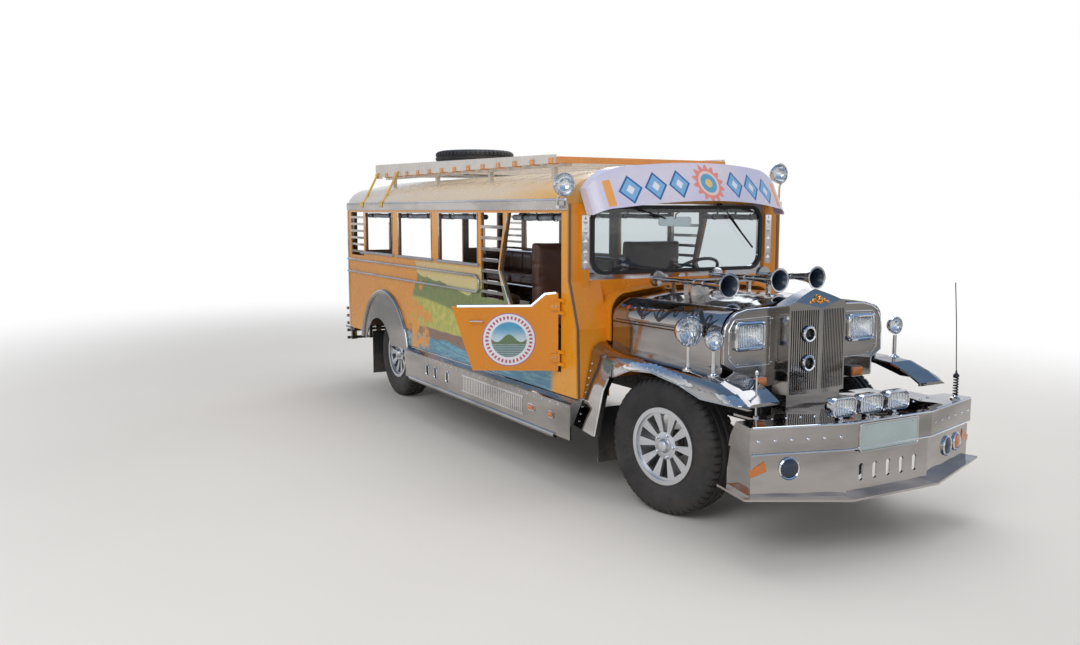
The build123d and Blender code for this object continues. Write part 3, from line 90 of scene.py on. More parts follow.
SIREN_OUTLINE = [(-0.336, 1.29), (-0.224, 1.29), (-0.224, 1.392), (-0.24, 1.404), (-0.32, 1.404),
                 (-0.336, 1.392)]
HORNS = [(-0.37, 1.408, 0.19), (0.13, 1.418, 0.09), (0.56, 1.412, -0.015)]
PORT_HEIGHTS = (1.139, 0.966)
HEADLAMP_Y, HEADLAMP_Z = 0.45, 1.14
FOG_ROWS = (-0.32, -0.115, 0.095)
FOG_X = (1.005, 1.095)
FOG_Z = (0.762, 0.87)
FOG_HALF = 0.088
ROOF_BOWLS = [(-1, -0.757, 0.975, 2.03), (1, -0.845, 0.968, 2.138)]
BUMPER_NOSE_X = 1.135
BUMPER_NOSE_HALF = 0.323
BUMPER_TOP_Z = 0.74
BUMPER_FACING = (0.9593, 0.2825)
APRON_INSET = 0.016
# Side, distance from the nose's corner, height, radius and kind of each lamp in the bumper's apron
BUMPER_LAMPS = [(-1, 0.34, 0.509, 0.052, "dark"), (1, 0.256, 0.493, 0.05, "dark"),
                (1, 0.395, 0.495, 0.045, "amber")]
RACK_ENDS = (-4.905, -1.24)
TANK_OUTLINE = [(0.42, 0.39), (0.45, 0.36), (0.82, 0.36), (0.85, 0.39), (0.85, 0.56), (0.82, 0.59),
                (0.45, 0.59), (0.42, 0.56)]
BENCH_ENDS = (-5.2, -2.15)
BENCH_CUSHIONS = 4
BENCH_BOARDS = [(-5.2, -4.992), (-3.908, -2.15)]
COVER_RANGES = {"window": (-4.826, -2.124), "doorway": (-1.636, -0.874)}
COVER_Z = 1.812
COVER_INNER, COVER_OUTER = 0.0105, 0.0232


class JeepneyColours(bpy.types.PropertyGroup):
    """Colours of the paint, cloth and trim."""

    body: bpy.props.FloatVectorProperty(
        name="Body", description="Enamel of the body and doors", subtype="COLOR",
        default=(0.82, 0.3, 0.006), min=0.0, max=1.0)
    roof: bpy.props.FloatVectorProperty(
        name="Roof", description="Enamel of the roof", subtype="COLOR",
        default=(0.76, 0.6, 0.4), min=0.0, max=1.0)
    visor: bpy.props.FloatVectorProperty(
        name="Visor", description="Ground colour of the visor", subtype="COLOR",
        default=(0.62, 0.6, 0.78), min=0.0, max=1.0)
    meadow: bpy.props.FloatVectorProperty(
        name="Meadow", description="Field colour of the painted landscape", subtype="COLOR",
        default=(0.42, 0.44, 0.06), min=0.0, max=1.0)
    water: bpy.props.FloatVectorProperty(
        name="Water", description="River colour of the painted landscape", subtype="COLOR",
        default=(0.05, 0.24, 0.4), min=0.0, max=1.0)
    seats: bpy.props.FloatVectorProperty(
        name="Seats", description="Vinyl of the seats", subtype="COLOR",
        default=(0.085, 0.035, 0.022), min=0.0, max=1.0)
    covers: bpy.props.FloatVectorProperty(
        name="Window covers", description="Coated sheet rolled up above the windows", subtype="COLOR",
        default=(0.13, 0.16, 0.21), min=0.0, max=1.0)
    dust: bpy.props.FloatVectorProperty(
        name="Dust", description="Road dust on the lower panels", subtype="COLOR",
        default=(0.36, 0.29, 0.23), min=0.0, max=1.0)


class JeepneySizes(bpy.types.PropertyGroup):
    """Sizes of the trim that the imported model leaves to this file."""

    groove_depth: bpy.props.FloatProperty(
        name="Tread groove", description="Depth of the tyre's grooves", default=0.009, min=0.0,
        unit="LENGTH")
    tread_pitches: bpy.props.IntProperty(
        name="Tread pitches", description="Blocks round the tyre", default=54, min=12)
    cover_turns: bpy.props.FloatProperty(
        name="Cover turns", description="Turns in a rolled window cover", default=3.1, min=1.0)
    rivet_radius: bpy.props.FloatProperty(
        name="Rivet", description="Radius of a rivet head", default=0.007, min=0.001, unit="LENGTH")
    rivet_pitch: bpy.props.FloatProperty(
        name="Rivet pitch", description="Distance between rivets", default=0.075, min=0.01,
        unit="LENGTH")


class JeepneyStage(bpy.types.PropertyGroup):
    """Camera and light."""

    camera_place: bpy.props.FloatVectorProperty(
        name="Camera", description="Where the camera stands", subtype="XYZ", unit="LENGTH",
        default=(4.748, -4.237, 1.862))
    camera_heading: bpy.props.FloatProperty(
        name="Heading", description="Turn of the view from -X towards +Y", subtype="ANGLE",
        default=math.radians(29.258))
    camera_pitch: bpy.props.FloatProperty(
        name="Pitch", description="How far the view looks down", subtype="ANGLE",
        default=math.radians(6.585))
    camera_lens: bpy.props.FloatProperty(
        name="Lens", description="Focal length on a 36 mm sensor, in millimetres", default=32.36)
    lamp_power: bpy.props.FloatProperty(
        name="Lamp power", description="Power of the large soft lamp", default=260.0, unit="POWER")


def colours():
    """The scene's colour settings."""
    return bpy.context.scene.jeepney_colours


def sizes():
    """The scene's size settings."""
    return bpy.context.scene.jeepney_sizes


# Node trees

class Tree:
    """A node tree with short calls for the nodes that the finishes use."""

    def __init__(self, node_tree):
        self.nodes = node_tree.nodes
        self.links = node_tree.links
        self.position = None

    def feed(self, socket, value):
        """Link a socket to another one, or give it a plain value; colours are opaque."""
        if isinstance(value, bpy.types.NodeSocket):
            self.links.new(value, socket)
        elif socket.type == "RGBA":
            socket.default_value = (*value[:3], 1.0)
        else:
            socket.default_value = value

    def add(self, kind, settings=(), **inputs):
        """Add a node with its settings and inputs; underscores in names stand for spaces."""
        node = self.nodes.new(kind)
        for name, value in dict(settings).items():
            setattr(node, name, value)
        for name, value in inputs.items():
            self.feed(node.inputs[name.replace("_", " ")], value)
        return node

    def math(self, operation, first, second=0.0, third=0.0):
        """A Math node's result."""
        node = self.nodes.new("ShaderNodeMath")
        node.operation = operation
        for socket, value in zip(node.inputs, (first, second, third)):
            self.feed(socket, value)
        return node.outputs[0]

    def times(self, first, second):
        """The product of two values."""
        return self.math("MULTIPLY", first, second)

    def plus(self, first, second):
        """The sum of two values."""
        return self.math("ADD", first, second)

    def minus(self, first, second):
        """The first value less the second."""
        return self.math("SUBTRACT", first, second)

    def wave(self, value, turns):
        """The sine of a value times a number."""
        return self.math("SINE", self.times(value, turns))

    def length(self, first, second):
        """The length of two values at a right angle."""
        return self.math("SQRT", self.plus(self.times(first, first), self.times(second, second)))

    def mix(self, share, first, second, blend="MIX"):
        """Two colours mixed by a share."""
        node = self.nodes.new("ShaderNodeMix")
        node.data_type = "RGBA"
        node.blend_type = blend
        self.feed(node.inputs[0], share)
        self.feed(node.inputs[6], first)
        self.feed(node.inputs[7], second)
        return node.outputs[2]

    def place(self):
        """The X, Y and Z of the surface in its piece's own frame."""
        if self.position is None:
            coordinates = self.nodes.new("ShaderNodeTexCoord")
            split = self.nodes.new("ShaderNodeSeparateXYZ")
            self.links.new(coordinates.outputs["Object"], split.inputs[0])
            self.position = (coordinates.outputs["Object"], *split.outputs)
        return self.position[1:]

    def point(self):
        """The surface's place as one vector."""
        self.place()
        return self.position[0]

    def noise(self, scale, detail=2.0, rough=0.5, vector=None):
        """A noise texture's value."""
        vector = self.point() if vector is None else vector
        node = self.add("ShaderNodeTexNoise", Scale=scale, Detail=detail, Roughness=rough, Vector=vector)
        return node.outputs["Fac"]

    def scaled(self, factors):
        """The surface's place multiplied by three factors."""
        node = self.nodes.new("ShaderNodeVectorMath")
        node.operation = "MULTIPLY"
        self.links.new(self.point(), node.inputs[0])
        node.inputs[1].default_value = factors
        return node.outputs[0]

    def rise(self, value, low, high):
        """A smooth step from 0 at low to 1 at high."""
        node = self.nodes.new("ShaderNodeMapRange")
        node.interpolation_type = "SMOOTHSTEP"
        for name, number in (("Value", value), ("From Min", low), ("From Max", high)):
            self.feed(node.inputs[name], number)
        return node.outputs["Result"]

    def within(self, value, low, high, edge=0.002):
        """1 between low and high, 0 outside."""
        return self.times(self.rise(value, low - edge, low + edge), self.rise(value, high + edge, high - edge))

    def under(self, value, top, soft):
        """1 where a value lies below a top that may vary over the surface."""
        return self.rise(value, top, self.minus(top, soft))

    def bump(self, height, strength, distance):
        """A Bump node's normal."""
        return self.add("ShaderNodeBump", Height=height, Strength=strength, Distance=distance).outputs["Normal"]

    def group(self, name, **inputs):
        """Place a shared effect with its own values, and return its outputs by name."""
        if name not in bpy.data.node_groups:
            EFFECTS[name]()
        node = self.nodes.new("ShaderNodeGroup")
        node.node_tree = bpy.data.node_groups[name]
        for key, value in inputs.items():
            self.feed(node.inputs[key.replace("_", " ")], value)
        return {socket.name: socket for socket in node.outputs}


class Finish(Tree):
    """A material while it is being made."""

    def __init__(self, name, colour=(0.5, 0.5, 0.5), roughness=0.5, metallic=0.0, **shader):
        self.material = bpy.data.materials.new(name)
        self.material.use_nodes = True
        super().__init__(self.material.node_tree)
        self.shader = self.nodes["Principled BSDF"]
        shader.update(Base_Color=colour, Roughness=roughness, Metallic=metallic)
        for key, value in shader.items():
            self.set(key.replace("_", " "), value)

    def set(self, socket, value):
        """Give one of the shader's sockets a value or a link."""
        self.feed(self.shader.inputs[socket], value)

    def mottled(self, scale, detail, low, high, first, second):
        """Two colours that meet in soft clouds."""
        return self.mix(self.rise(self.noise(scale, detail), low, high), first, second)

    def dusted(self, colour, top, amount):
        """Set a colour under road dust that reaches up to a height, and return the dust's mask."""
        dust = self.group("Road_dust", Color=colour, Dust=colours().dust, Top=top, Amount=amount)
        self.set("Base Color", dust["Color"])
        return dust["Mask"]

    def smudged(self, clean, dull, scale):
        """Roughness of a surface with smudges."""
        return self.group("Smudges", Clean=clean, Dull=dull, Scale=scale)["Roughness"]

    def grained(self, scale, strength, distance):
        """Set a fine grain."""
        self.set("Normal", self.bump(self.group("Fine_grain", Scale=scale)["Height"], strength, distance))

    def rippled(self, scale, height, strength, distance):
        """Set the waves of bent sheet."""
        waves = self.group("Sheet_ripple", Scale=scale, Height=height)["Height"]
        self.set("Normal", self.bump(waves, strength, distance))


def effect(name, inputs, outputs):
    """A new shader node group with named sockets: returns its tree, inputs and output node."""
    group = bpy.data.node_groups.new(name, "ShaderNodeTree")
    kinds = {"value": "NodeSocketFloat", "colour": "NodeSocketColor", "vector": "NodeSocketVector"}
    for label, kind, default in inputs:
        socket = group.interface.new_socket(name=label, in_out="INPUT", socket_type=kinds[kind])
        socket.default_value = default
    for label, kind in outputs:
        group.interface.new_socket(name=label, in_out="OUTPUT", socket_type=kinds[kind])
    tree = Tree(group)
    source = group.nodes.new("NodeGroupInput")
    target = group.nodes.new("NodeGroupOutput")
    return tree, source.outputs, target.inputs


def road_dust():
    """Dust that thins out with height: gives the dusted colour and the dust's mask."""
    tree, given, out = effect(
        "Road_dust", [("Color", "colour", (0.5, 0.5, 0.5, 1)), ("Dust", "colour", (0.4, 0.3, 0.2, 1)),
                      ("Top", "value", 0.8), ("Amount", "value", 0.5)],
        [("Color", "colour"), ("Mask", "value")])
    height = tree.place()[2]
    fade = tree.rise(height, given["Top"], 0.0)
    cloud = tree.rise(tree.noise(5.0, 6.0, 0.65), 0.32, 0.72)
    fine = tree.rise(tree.noise(60.0, 3.0, 0.6), 0.35, 0.75)
    spread = tree.plus(tree.times(cloud, 0.7), tree.times(fine, 0.3))
    mask = tree.times(tree.times(fade, spread), given["Amount"])
    tree.feed(out["Color"], tree.mix(mask, given["Color"], given["Dust"]))
    tree.feed(out["Mask"], mask)


def smudges():
    """Roughness of a polished surface that was wiped by hand and dried in streaks."""
    tree, given, out = effect("Smudges",
                              [("Clean", "value", 0.1), ("Dull", "value", 0.4), ("Scale", "value", 3.0)],
                              [("Roughness", "value")])
    broad = tree.rise(tree.noise(given["Scale"], 5.0, 0.6), 0.42, 0.72)
    fine = tree.rise(tree.noise(tree.times(given["Scale"], 14.0), 3.0, 0.6), 0.4, 0.8)
    mask = tree.plus(tree.times(broad, 0.65), tree.times(fine, 0.35))
    spread = tree.minus(given["Dull"], given["Clean"])
    tree.feed(out["Roughness"], tree.plus(given["Clean"], tree.times(mask, spread)))


def sheet_ripple():
    """The slight waviness of sheet metal that was bent by hand."""
    tree, given, out = effect("Sheet_ripple", [("Scale", "value", 4.0), ("Height", "value", 0.4)],
                              [("Height", "value")])
    tree.feed(out["Height"], tree.times(tree.noise(given["Scale"], 1.0, 0.4), given["Height"]))


def fine_grain():
    """A fine pebbled grain for vinyl, rubber and cast metal."""
    tree, given, out = effect("Fine_grain", [("Scale", "value", 300.0)], [("Height", "value")])
    cells = tree.add("ShaderNodeTexVoronoi", Scale=given["Scale"], Vector=tree.point())
    tree.feed(out["Height"],
              tree.plus(cells.outputs["Distance"], tree.times(tree.noise(given["Scale"], 3.0), 0.5)))


def chips():
    """Chipped paint: mixes in the colour below where the paint is gone."""
    tree, given, out = effect(
        "Chips", [("Color", "colour", (0.5, 0.5, 0.5, 1)), ("Below", "colour", (0.2, 0.1, 0.05, 1)),
                  ("Scale", "value", 18.0), ("Amount", "value", 0.3)], [("Color", "colour")])
    edge = tree.minus(0.86, tree.times(given["Amount"], 0.3))
    spots = tree.noise(given["Scale"], 8.0, 0.7)
    mask = tree.rise(spots, edge, tree.plus(edge, 0.02))
    tree.feed(out["Color"], tree.mix(mask, given["Color"], given["Below"]))


EFFECTS = {"Road_dust": road_dust, "Smudges": smudges, "Sheet_ripple": sheet_ripple,
           "Fine_grain": fine_grain, "Chips": chips}


# Finishes

def bright_metal(name, colour, dust=0.18, top=0.62, clean=0.04, dull=0.13, ripple=1.0):
    """Polished stainless sheet with smudges, slight waves and dust low down."""
    made = Finish(name, colour, metallic=1.0)
    # Darker patches, drawn out sideways, in the metal's colour.
    blotches = made.rise(made.noise(1.5, 4.0, 0.55, made.scaled((0.7, 0.7, 2.6))), 0.38, 0.66)
    mask = made.dusted(made.mix(blotches, colour, [value * 0.66 for value in colour]), top, dust)
    made.set("Roughness", made.plus(made.smudged(clean, dull, 2.6), made.times(mask, 0.5)))
    made.set("Metallic", made.minus(1.0, made.times(mask, 0.8)))
    made.rippled(3.4, ripple, 1.0, 0.01)
    return made.material


def rimmed_metal():
    """Windshield frame: bright metal, with the black rubber gasket round the glass."""
    made = Finish("windshield_metal", (0.68, 0.68, 0.7))
    x, _, _ = made.place()
    bright = made.rise(x, -0.7852, -0.7858)
    made.set("Base Color", made.mix(bright, (0.012, 0.012, 0.013), (0.68, 0.68, 0.7)))
    rough = made.smudged(0.06, 0.2, 4.0)
    made.set("Roughness", made.plus(rough, made.times(made.minus(1.0, bright), 0.45)))
    made.set("Metallic", bright)
    return made.material


def enamel(made, colour, dust=0.25, top=0.9, chipped=0.25, below=(0.1, 0.06, 0.04)):
    """Finish a painted material: dust, chips and an uneven gloss over a colour socket."""
    worn = made.group("Chips", Color=colour, Below=below, Scale=16.0, Amount=chipped)
    mask = made.dusted(worn["Color"], top, dust)
    made.set("Roughness", made.plus(made.smudged(0.22, 0.42, 2.2), made.times(mask, 0.4)))
    made.rippled(2.4, 0.3, 0.25, 0.003)
    return made.material


def landscape(made):
    """A painted landscape of hills, meadow and river for the lower body side."""
    x, _, z = made.place()
    drift = made.noise(1.6, 3.0, 0.55)
    detail = made.noise(14.0, 5.0, 0.6)
    sky = made.mix(made.rise(z, 1.42, 1.12), (0.78, 0.55, 0.22), (0.66, 0.66, 0.3))
    hill_top = made.plus(1.16, made.times(made.wave(x, 3.1), 0.06))
    hill_top = made.plus(hill_top, made.times(drift, 0.22))
    hills = made.mix(detail, (0.1, 0.16, 0.04), (0.26, 0.3, 0.06))
    colour = made.mix(made.under(z, hill_top, 0.012), sky, hills)
    field_top = made.plus(1.06, made.times(made.wave(x, -2.3), 0.045))
    meadow = made.mix(made.rise(detail, 0.35, 0.7), colours().meadow, (0.66, 0.6, 0.1))
    colour = made.mix(made.under(z, field_top, 0.03), colour, meadow)
    bank_top = made.plus(0.8, made.times(drift, 0.08))
    colour = made.mix(made.under(z, bank_top, 0.01), colour,
                      made.mix(detail, (0.16, 0.08, 0.05), (0.3, 0.17, 0.12)))
    river_top = made.plus(0.7, made.times(made.noise(2.3, 2.0), 0.1))
    river = made.mix(made.rise(made.noise(20.0, 2.0, 0.5, made.scaled((0.3, 1, 4))), 0.45, 0.6),
                     colours().water, (0.16, 0.42, 0.52))
    return made.mix(made.under(z, river_top, 0.008), colour, river)


def body_enamel():
    """Body sides: orange enamel, a painted landscape along the middle and a dark brown inside that is painted
    shade.
    """
    made = Finish("body_enamel", Coat_Weight=0.35, Coat_Roughness=0.12)
    x, y, z = made.place()
    tone = made.mottled(1.1, 3.0, 0.3, 0.7, colours().body, (0.84, 0.35, 0.01))
    reach = made.plus(x, made.times(made.noise(1.7, 6.0, 0.6), 2.4))
    start = made.rise(reach, -2.28, -2.2)
    under = made.rise(z, 1.43, 1.4)
    front = made.rise(x, -1.6, -1.64)
    low = made.times(made.rise(z, 0.79, 0.77), made.rise(x, -0.95, -1.02))
    share = made.times(made.times(start, under), made.math("MAXIMUM", front, low))
    colour = made.mix(share, tone, landscape(made))
    # The inner faces are painted dark brown as the shade inside the body.
    inside = made.times(made.rise(made.math("ABSOLUTE", y), HALF_WIDTH - 0.006, HALF_WIDTH - 0.012),
                        made.rise(x, REAR_X + 0.004, REAR_X + 0.01))
    colour = made.mix(inside, colour, (0.16, 0.1, 0.07))
    return enamel(made, colour)


def door_enamel():
    """Doors and posts: plain orange enamel."""
    made = Finish("door_enamel", Coat_Weight=0.35, Coat_Roughness=0.12)
    tone = made.mottled(1.3, 3.0, 0.3, 0.7, colours().body, (0.74, 0.25, 0.006))
    return enamel(made, tone, dust=0.12, top=0.7, chipped=0.15)


def roof_enamel():
    """Roof: cream enamel, golden towards the front corners, pale at the rear, and grey on faces that look down
    as painted shade.
    """
    made = Finish("roof_enamel", Coat_Weight=0.2, Coat_Roughness=0.2)
    x, _, z = made.place()
    pale = made.mix(made.rise(x, -3.4, -5.0), colours().roof, (0.74, 0.68, 0.6))
    golden = made.times(made.rise(x, -2.0, -0.9), made.rise(z, 2.12, 1.95))
    colour = made.mix(golden, pale, (0.8, 0.42, 0.08))
    stain = made.rise(made.noise(3.0, 5.0, 0.6, made.scaled((0.4, 2.0, 1.0))), 0.5, 0.75)
    colour = made.mix(made.times(stain, 0.1), colour, (0.42, 0.31, 0.22))
    # Faces that look down turn grey: painted shade under the roof's edges and on its ceiling.
    facing = made.add("ShaderNodeSeparateXYZ", Vector=made.nodes.new("ShaderNodeNewGeometry").outputs["Normal"])
    colour = made.mix(made.rise(facing.outputs[2], -0.05, -0.25), colour, (0.55, 0.52, 0.47))
    return enamel(made, colour, dust=0.0, top=0.1, chipped=0.3)


def visor_paint():
    """Visor: lavender white with a sunburst in the middle and blue lozenges to both sides."""
    made = Finish("visor_paint", Coat_Weight=0.3, Coat_Roughness=0.15)
    _, y, z = made.place()
    ground = made.mottled(2.0, 3.0, 0.35, 0.7, colours().visor, (0.74, 0.68, 0.76))
    side = made.math("ABSOLUTE", y)
    lift = made.minus(z, 2.045)
    radius = made.length(y, lift)
    angle = made.math("ARCTAN2", lift, y)
    rays = made.plus(0.116, made.times(made.wave(angle, 14.0), 0.015))
    colour = made.mix(made.under(radius, rays, 0.003), ground, (0.8, 0.28, 0.22))
    for edge, paint in ((0.084, (0.82, 0.62, 0.6)), (0.066, (0.12, 0.38, 0.58)), (0.03, (0.86, 0.55, 0.18))):
        colour = made.mix(made.rise(radius, edge, edge - 0.003), colour, paint)
    first, step = 0.15, 0.172
    along = made.minus(made.math("FRACT", made.math("DIVIDE", made.minus(side, first), step)), 0.5)
    sag = made.times(made.times(side, side), 0.14)
    drop = made.math("DIVIDE", made.plus(lift, sag), 0.205)
    lozenge = made.plus(made.math("ABSOLUTE", along), made.math("ABSOLUTE", drop))
    band = made.within(side, first, first + 3 * step, 0.001)
    for edge, paint in ((0.47, (0.03, 0.14, 0.36)), (0.38, (0.22, 0.44, 0.72)), (0.17, (0.8, 0.8, 0.88))):
        colour = made.mix(made.times(band, made.rise(lozenge, edge, edge - 0.02)), colour, paint)
    tip = made.within(side, 0.69, 0.74, 0.002)
    colour = made.mix(made.times(tip, made.within(made.plus(lift, sag), -0.085, 0.085)), colour,
                      (0.84, 0.38, 0.1))
    return enamel(made, colour, dust=0.0, top=0.1, chipped=0.1)


def plain_enamel(name, colour, dust, top, chipped):
    """A plain coat of enamel."""
    made = Finish(name, colour)
    tone = made.mottled(6.0, 4.0, 0.3, 0.75, colour, [value * 0.88 for value in colour])
    return enamel(made, tone, dust, top, chipped, (0.12, 0.06, 0.04))


def rubber(name, colour, dust, top, scale=260.0):
    """Black rubber, greyed by dust."""
    made = Finish(name, colour)
    tone = made.mottled(7.0, 4.0, 0.3, 0.7, colour, [value * 2.2 for value in colour])
    mask = made.dusted(tone, top, dust)
    made.set("Roughness", made.plus(0.62, made.times(mask, 0.3)))
    made.grained(scale, 0.25, 0.0006)
    return made.material


def vinyl():
    """Seat vinyl with a leather grain and a soft shine where it is worn."""
    made = Finish("seat_vinyl", colours().seats, Coat_Weight=0.15, Coat_Roughness=0.35)
    made.set("Base Color", made.mottled(5.0, 4.0, 0.3, 0.75, colours().seats, (0.13, 0.06, 0.04)))
    made.set("Roughness", made.smudged(0.34, 0.6, 6.0))
    made.grained(420.0, 0.4, 0.0007)
    return made.material


def coated_cloth():
    """Coated sheet of the rolled window covers: woven, creased and bleached in soft clouds."""
    made = Finish("coated_sheet", colours().covers, Sheen_Weight=0.15)
    x, _, z = made.place()
    weave = made.times(made.wave(x, 2400.0), made.wave(z, 2400.0))
    tone = made.mix(made.rise(made.noise(9.0, 5.0, 0.6), 0.35, 0.72), colours().covers, (0.34, 0.37, 0.42))
    made.set("Base Color", tone)
    made.set("Roughness", made.smudged(0.45, 0.72, 5.0))
    creases = made.noise(34.0, 4.0, 0.6, made.scaled((0.5, 1.0, 1.6)))
    height = made.plus(creases, made.times(weave, 0.05))
    made.set("Normal", made.bump(height, 0.5, 0.003))
    return made.material


def cast_alloy():
    """Silver wheel alloy mottled with brake dust."""
    made = Finish("wheel_alloy", (0.58, 0.59, 0.61), metallic=0.85)
    made.dusted(made.mottled(9.0, 4.0, 0.45, 0.8, (0.6, 0.61, 0.63), (0.26, 0.24, 0.22)), 0.9, 0.35)
    made.set("Roughness", made.smudged(0.24, 0.45, 8.0))
    made.grained(500.0, 0.08, 0.0004)
    return made.material


def clear_glass():
    """Clear windshield glass with a thin layer of dust; its blue-grey tint is painted shade of the cabin behind
    and a painted reflection of the sky.
    """
    # The blue-grey colour paints in the shade of the cabin behind the glass and the sky's blue reflection.
    made = Finish("screen_glass", (0.58, 0.64, 0.66), 0.02, Transmission_Weight=1.0, IOR=1.45)
    blotches = made.rise(made.noise(3.0, 6.0, 0.7), 0.45, 0.8)
    made.set("Roughness", made.plus(0.02, made.times(blotches, 0.1)))
    return made.material


def lens_glass():
    """Fluted lamp lens."""
    made = Finish("lens_glass", (0.93, 0.95, 0.96), 0.05, Transmission_Weight=1.0, IOR=1.5)
    _, y, _ = made.place()
    flutes = made.wave(y, 520.0)
    made.set("Normal", made.bump(flutes, 0.35, 0.0015))
    return made.material


def tinted_lens(name, colour):
    """Coloured lamp lens with small prisms, darker in their hollows as painted shade."""
    made = Finish(name, colour, 0.18, Coat_Weight=0.8, Coat_Roughness=0.05)
    _, y, z = made.place()
    prisms = made.times(made.wave(y, 700.0), made.wave(z, 700.0))
    # The colour darkens in the prisms' hollows: painted shade.
    tone = made.mix(made.rise(prisms, -0.6, 0.8), [value * 0.55 for value in colour], colour)
    made.set("Base Color", tone)
    made.set("Normal", made.bump(prisms, 0.4, 0.001))
    return made.material


def mirror_cup():
    """Bright reflector inside a lamp."""
    made = Finish("lamp_reflector", (0.86, 0.87, 0.88), 0.06, 1.0)
    ripples = made.noise(40.0, 2.0)
    made.set("Normal", made.bump(ripples, 0.2, 0.001))
    made.set("Roughness", made.smudged(0.05, 0.2, 12.0))
    return made.material


def roundel_paint():
    """Door roundel: a ringed landscape of sky, hill and river without words."""
    made = Finish("roundel_paint", Coat_Weight=0.3, Coat_Roughness=0.15)
    x, y, _ = made.place()
    share = made.math("DIVIDE", made.length(x, y), ROUNDEL_RADIUS)
    angle = made.math("ARCTAN2", y, x)
    sky = made.mix(made.rise(y, -0.01, 0.09), (0.55, 0.7, 0.78), (0.08, 0.34, 0.55))
    crest = made.plus(0.012, made.times(made.math("COSINE", made.times(x, 38.0)), 0.026))
    colour = made.mix(made.under(y, crest, 0.003), sky,
                      made.mix(made.noise(60.0, 3.0), (0.06, 0.14, 0.07), (0.2, 0.26, 0.12)))
    ripple = made.plus(-0.028, made.times(made.wave(x, 60.0), 0.003))
    colour = made.mix(made.under(y, ripple, 0.003), colour,
                      made.mix(made.rise(made.wave(y, 520.0), 0.2, 0.9), (0.1, 0.2, 0.22), (0.45, 0.52, 0.5)))
    colour = made.mix(made.rise(share, 0.655, 0.665), colour, (0.8, 0.8, 0.86))
    beads = made.wave(angle, 36.0)
    ring = made.within(share, 0.76, 0.88, 0.01)
    colour = made.mix(made.times(ring, made.rise(beads, -0.1, 0.1)), colour, (0.46, 0.08, 0.12))
    colour = made.mix(made.rise(share, 0.955, 0.965), colour, (0.42, 0.16, 0.34))
    made.set("Base Color",
             made.group("Chips", Color=colour, Below=(0.7, 0.25, 0.02), Scale=30.0, Amount=0.25)["Color"])
    made.set("Roughness", made.smudged(0.25, 0.45, 8.0))
    return made.material


# Values of the finishes that share a maker: colour, dust, its top, and what the maker takes after them
METALS = {
    # bright_sheet is darker and warmer than bare steel: partly the steel's own colour, partly a painted
    # reflection of the road and of dark surroundings.
    "bright_sheet": ((0.47, 0.445, 0.43),),
    "polished_tube": ((0.78, 0.78, 0.79), 0.1, 0.6, 0.04, 0.14, 0.2),
    "gilt": ((0.78, 0.36, 0.1), 0.0, 0.1, 0.16, 0.34, 0.2),
    "grille_metal": ((0.4, 0.38, 0.36), 0.2, 1.2, 0.12, 0.28, 0.4),
    "plate_steel": ((0.36, 0.35, 0.34), 0.6, 1.0, 0.28, 0.5, 0.4),
}
ENAMELS = {
    "black_paint": ((0.018, 0.018, 0.019), 0.55, 1.0, 0.5),
    "engine_iron": ((0.12, 0.125, 0.13), 0.4, 1.1, 0.6),
    "cream_paint": ((0.72, 0.68, 0.64), 0.0, 0.1, 0.3),
    "slat_orange": ((0.8, 0.33, 0.09), 0.0, 0.1, 0.5),
    "plate_white": ((0.5, 0.6, 0.6), 0.05, 1.0, 0.15),
    "lens_white": ((0.72, 0.72, 0.68), 0.0, 0.1, 0.0),
    "screen_black": ((0.012, 0.012, 0.013), 0.1, 0.5, 0.1),
    # Blue-black painted shade, for the deep insides of the chrome horns and the lenses of the dark bumper
    # lamps.
    "painted_deep_shade": ((0.03, 0.045, 0.075), 0.1, 0.5, 0.1),
    "grey_vinyl": ((0.34, 0.34, 0.36), 0.0, 0.1, 0.3),
    "bench_ply": ((0.2, 0.115, 0.065), 0.3, 1.0, 0.4),
    "guard_yellow": ((0.8, 0.46, 0.03), 0.3, 1.0, 0.5),
}
RUBBERS = {
    "tyre_rubber": ((0.009, 0.009, 0.01), 0.12, 0.95),
    "flap_rubber": ((0.014, 0.014, 0.015), 0.6, 0.5),
    "gasket_rubber": ((0.01, 0.01, 0.011), 0.0, 0.1),
    "dash_plastic": ((0.03, 0.028, 0.027), 0.0, 0.1, 380.0),
}
TINTED_LENSES = {"amber_lens": ((0.85, 0.24, 0.02),), "red_lens": ((0.6, 0.02, 0.015),)}
OWN_FINISHES = {"body_enamel": body_enamel, "door_enamel": door_enamel, "roof_enamel": roof_enamel,
                "visor_paint": visor_paint, "windshield_metal": rimmed_metal, "seat_vinyl": vinyl,
                "coated_sheet": coated_cloth, "wheel_alloy": cast_alloy, "screen_glass": clear_glass,
                "lens_glass": lens_glass, "lamp_reflector": mirror_cup, "roundel_paint": roundel_paint}


def finish(name):
    """A finish by name, made on first use."""
    if name in bpy.data.materials:
        return bpy.data.materials[name]
    for maker, table in ((bright_metal, METALS), (plain_enamel, ENAMELS), (rubber, RUBBERS),
                         (tinted_lens, TINTED_LENSES)):
        if name in table:
            return maker(name, *table[name])
    return OWN_FINISHES[name]()


